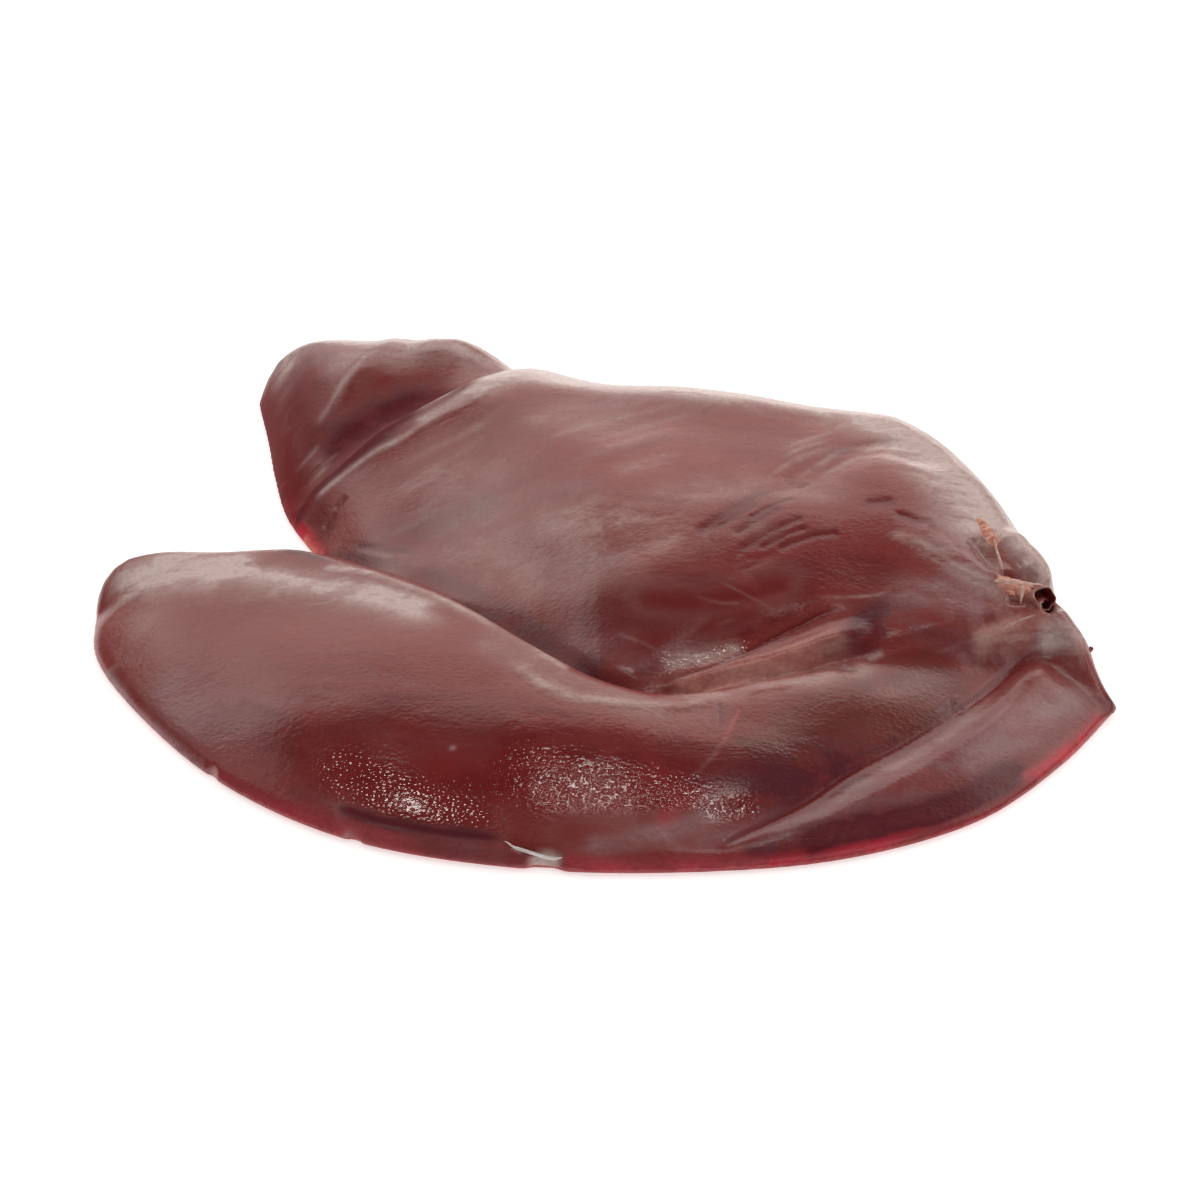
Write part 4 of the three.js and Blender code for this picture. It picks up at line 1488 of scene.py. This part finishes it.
@dataclass
class Hilum:
    """The torn tissue, the cut vessel and the duct stubs at the liver's right end.

    Attributes:
        bands: The bands and shreds of torn tissue.
        vessels: The cut vessel and the duct stubs.
    """

    bands: tuple[TissueBand, ...] = (
        TissueBand(
            "hilum_ligament", ((164, -10), (167, -15), (169, -21), (171, -29)),
            3.2, 1.6, LIGAMENT, 0.4, 0.4, 3,
        ),
        TissueBand(
            "hilum_ligament_edge", ((168, -15), (170, -21), (171, -28), (172, -35), (173, -43)),
            0.8, 1.8, CREAM_TISSUE_AND_HIGHLIGHT, 0.3, 0.35, 5,
        ),
        TissueBand(
            "hilum_band", ((168, -49), (173, -50), (179, -49), (186, -47)),
            1.6, 1.8, CREAM_TISSUE_AND_HIGHLIGHT, 0.1, 0.4, 8,
        ),
        TissueBand(
            "hilum_band_low", ((171, -53), (176, -54), (181, -53)),
            1.3, 0.8, SALMON_TISSUE, 0.0, 0.5, 10,
        ),
        TissueBand(
            "hilum_band_fold", ((178, -46), (180, -51), (179, -57)),
            1.2, 1.8, CREAM_TISSUE_AND_HIGHLIGHT, 0.0, 0.4, 9,
        ),
        TissueBand(
            "hilum_band_top", ((171, -46), (178, -46), (185, -45), (191, -43)),
            0.9, 1.4, CREAM_TISSUE_AND_HIGHLIGHT, 0.0, 0.3, 14,
        ),
        TissueBand(
            "hilum_film", ((163, -74), (171, -70), (179, -65), (187, -61), (192, -59)),
            0.9, 0.8, PALE_MEMBRANE, 0.1, 0.4, 12,
        ),
    )
    vessels: tuple[CutVessel, ...] = (
        CutVessel("hilum_vessel", (185.0, -50.0, 33.0), (0.45, -0.72, 0.53), 5.2, 0.8, 9.0, VESSEL_WALL, 4),
        CutVessel("hilum_duct", (198.0, -60.8, 27.5), (0.45, -0.35, 0.82), 1.7, 0.6, 2.8, DUCT_WALL, 6),
        CutVessel("hilum_small_duct", (208.0, -65.5, 17.0), (0.35, -0.20, 0.92), 1.0, 0.4, 2.6, DUCT_WALL, 7),
    )

    def build(self, surface: Surface, effects: Effects) -> None:
        """Builds the hilum's pieces on the flesh."""
        for band in self.bands:
            band.build(surface, effects)
        for vessel in self.vessels:
            vessel.build(effects)


@dataclass
class MarginShreds:
    """The shred of pale capsule at the long nick in the front margin, its near-white colour partly a painted
    highlight.

    Attributes:
        shreds: The shreds, each a band of tissue.
    """

    shreds: tuple[TissueBand, ...] = (
        TissueBand(
            "margin_shred_long", ((-35, -186), (-28, -189), (-20, -191), (-10, -193)),
            0.8, 1.2, CAPSULE_SHRED_AND_HIGHLIGHT, 0.0, 0.2, 21,
        ),
    )

    def build(self, surface: Surface, effects: Effects) -> None:
        """Builds the shreds on the margin."""
        for shred in self.shreds:
            shred.build(surface, effects)


@dataclass(frozen=True)
class Softbox:
    """A rectangular soft light that faces the liver.

    Attributes:
        name: The light's name.
        elevation: Degrees above the floor, seen from the liver.
        azimuth: Degrees to the right of straight behind.
        distance: Metres from the liver.
        size: Width and height in metres.
        radiance: How bright its face is, where 1 is a white surface in the picture.
    """

    name: str
    elevation: float
    azimuth: float
    distance: float
    size: tuple[float, float]
    radiance: float

    def build(self, target: Vector) -> None:
        """Builds the light.

        Args:
            target: The place that it faces.
        """
        up, turn = math.radians(self.elevation), math.radians(self.azimuth)
        away = Vector((math.sin(turn) * math.cos(up), math.cos(turn) * math.cos(up), math.sin(up)))
        light = bpy.data.lights.new(self.name, "AREA")
        light.shape = "RECTANGLE"
        light.size, light.size_y = self.size
        light.color = WARM_WHITE
        light.energy = self.radiance * math.pi * self.size[0] * self.size[1]
        lamp = bpy.data.objects.new(self.name, light)
        bpy.context.scene.collection.objects.link(lamp)
        lamp.location = target + away * self.distance
        lamp.rotation_mode = "QUATERNION"
        lamp.rotation_quaternion = (-away).to_track_quat("-Z", "Y")


@dataclass
class Studio:
    """The pale floor, the soft lights and the camera.

    Attributes:
        target: The place that the camera and the lights face.
        elevation: The camera's degrees above the floor.
        distance: Metres from the camera to the target.
        lens: Focal length in millimetres.
        sensor: Width of the sensor in millimetres.
        floor_size: Side of the floor in metres.
        floor_glow: How brightly the floor shines by itself.
        room_light: The strength of the even light from all round.
        softboxes: The soft lights.
    """

    target: Place = (0.003, -0.029, 0.020)
    elevation: float = 32.0
    distance: float = 1.21745
    lens: float = 85.0
    sensor: float = 36.0
    floor_size: float = 30.0
    floor_glow: float = 0.60
    room_light: float = 0.15
    softboxes: tuple[Softbox, ...] = (
        Softbox("backdrop_high", 45.5, -10.0, 2.6, (4.6, 1.10), 1.54),
        Softbox("backdrop_low", 24.0, -16.0, 2.6, (2.8, 0.87), 1.26),
        Softbox("low_light", 6.0, 4.0, 2.6, (1.9, 0.50), 2.10),
        Softbox("left_light", 38.0, -68.0, 2.6, (1.9, 1.10), 0.72),
        Softbox("back_right_light", 44.0, 50.0, 2.6, (1.6, 0.90), 1.15),
        Softbox("right_light", 30.0, 86.0, 2.6, (2.2, 1.50), 1.40),
        Softbox("front_right_light", 28.0, 145.0, 2.6, (1.6, 1.0), 0.90),
        Softbox("overhead_left", 68.0, -101.0, 1.70, (0.20, 0.22), 18.0),
        Softbox("overhead_middle", 84.5, 8.0, 1.59, (0.13, 0.06), 22.0),
        Softbox("overhead_right", 80.0, 80.0, 1.61, (0.10, 0.10), 22.0),
    )

    def build(self) -> None:
        """Builds the floor, the lights and the camera."""
        self.floor()
        for softbox in self.softboxes:
            softbox.build(Vector(self.target))
        self.fill()
        self.camera()

    def floor(self) -> None:
        """Lays the floor just under the liver."""
        bpy.ops.object.select_all(action="DESELECT")
        bpy.ops.mesh.primitive_plane_add(size=self.floor_size)
        floor = bpy.context.object
        floor.name = "floor"
        material = bpy.data.materials.new("pale floor")
        material.use_nodes = True
        shader = material.node_tree.nodes["Principled BSDF"].inputs
        for name, value in (
            ("Base Color", (0.9, 0.9, 0.9, 1.0)),
            ("Roughness", 0.9),
            ("Specular IOR Level", 0.0),
            ("Emission Color", (1.0, 1.0, 1.0, 1.0)),
            ("Emission Strength", self.floor_glow),
        ):
            shader[name].default_value = value
        floor.data.materials.append(material)

    def fill(self) -> None:
        """Fills the room with an even, dim light."""
        world = bpy.data.worlds.new("room")
        world.use_nodes = True
        background = world.node_tree.nodes["Background"].inputs
        background["Color"].default_value = (1.0, 1.0, 1.0, 1.0)
        background["Strength"].default_value = self.room_light
        bpy.context.scene.world = world
        bpy.context.scene.view_settings.view_transform = "Standard"

    def camera(self) -> None:
        """Places the camera at the photograph's viewing angle."""
        angle = math.radians(self.elevation)
        back = Vector((0.0, -math.cos(angle), math.sin(angle)))
        camera = bpy.data.objects.new("camera", bpy.data.cameras.new("camera"))
        bpy.context.scene.collection.objects.link(camera)
        camera.data.lens = self.lens
        camera.data.sensor_width = self.sensor
        camera.location = Vector(self.target) + back * self.distance
        camera.rotation_mode = "QUATERNION"
        camera.rotation_quaternion = (-back).to_track_quat("-Z", "Y")
        bpy.context.scene.camera = camera


def main() -> None:
    """Builds the liver and the studio around it."""
    logging.basicConfig(level=logging.INFO, format="%(message)s")
    Studio().build()
    effects = Effects(
        grain=leathery_grain("leathery grain", False),
        pebbles=leathery_grain("wet pebbles", True),
        mottle=mottling(),
    )
    flesh = Flesh().build(effects)
    surface = Surface(flesh)
    Hilum().build(surface, effects)
    MarginShreds().build(surface, effects)


if __name__ == "__main__":
    main()
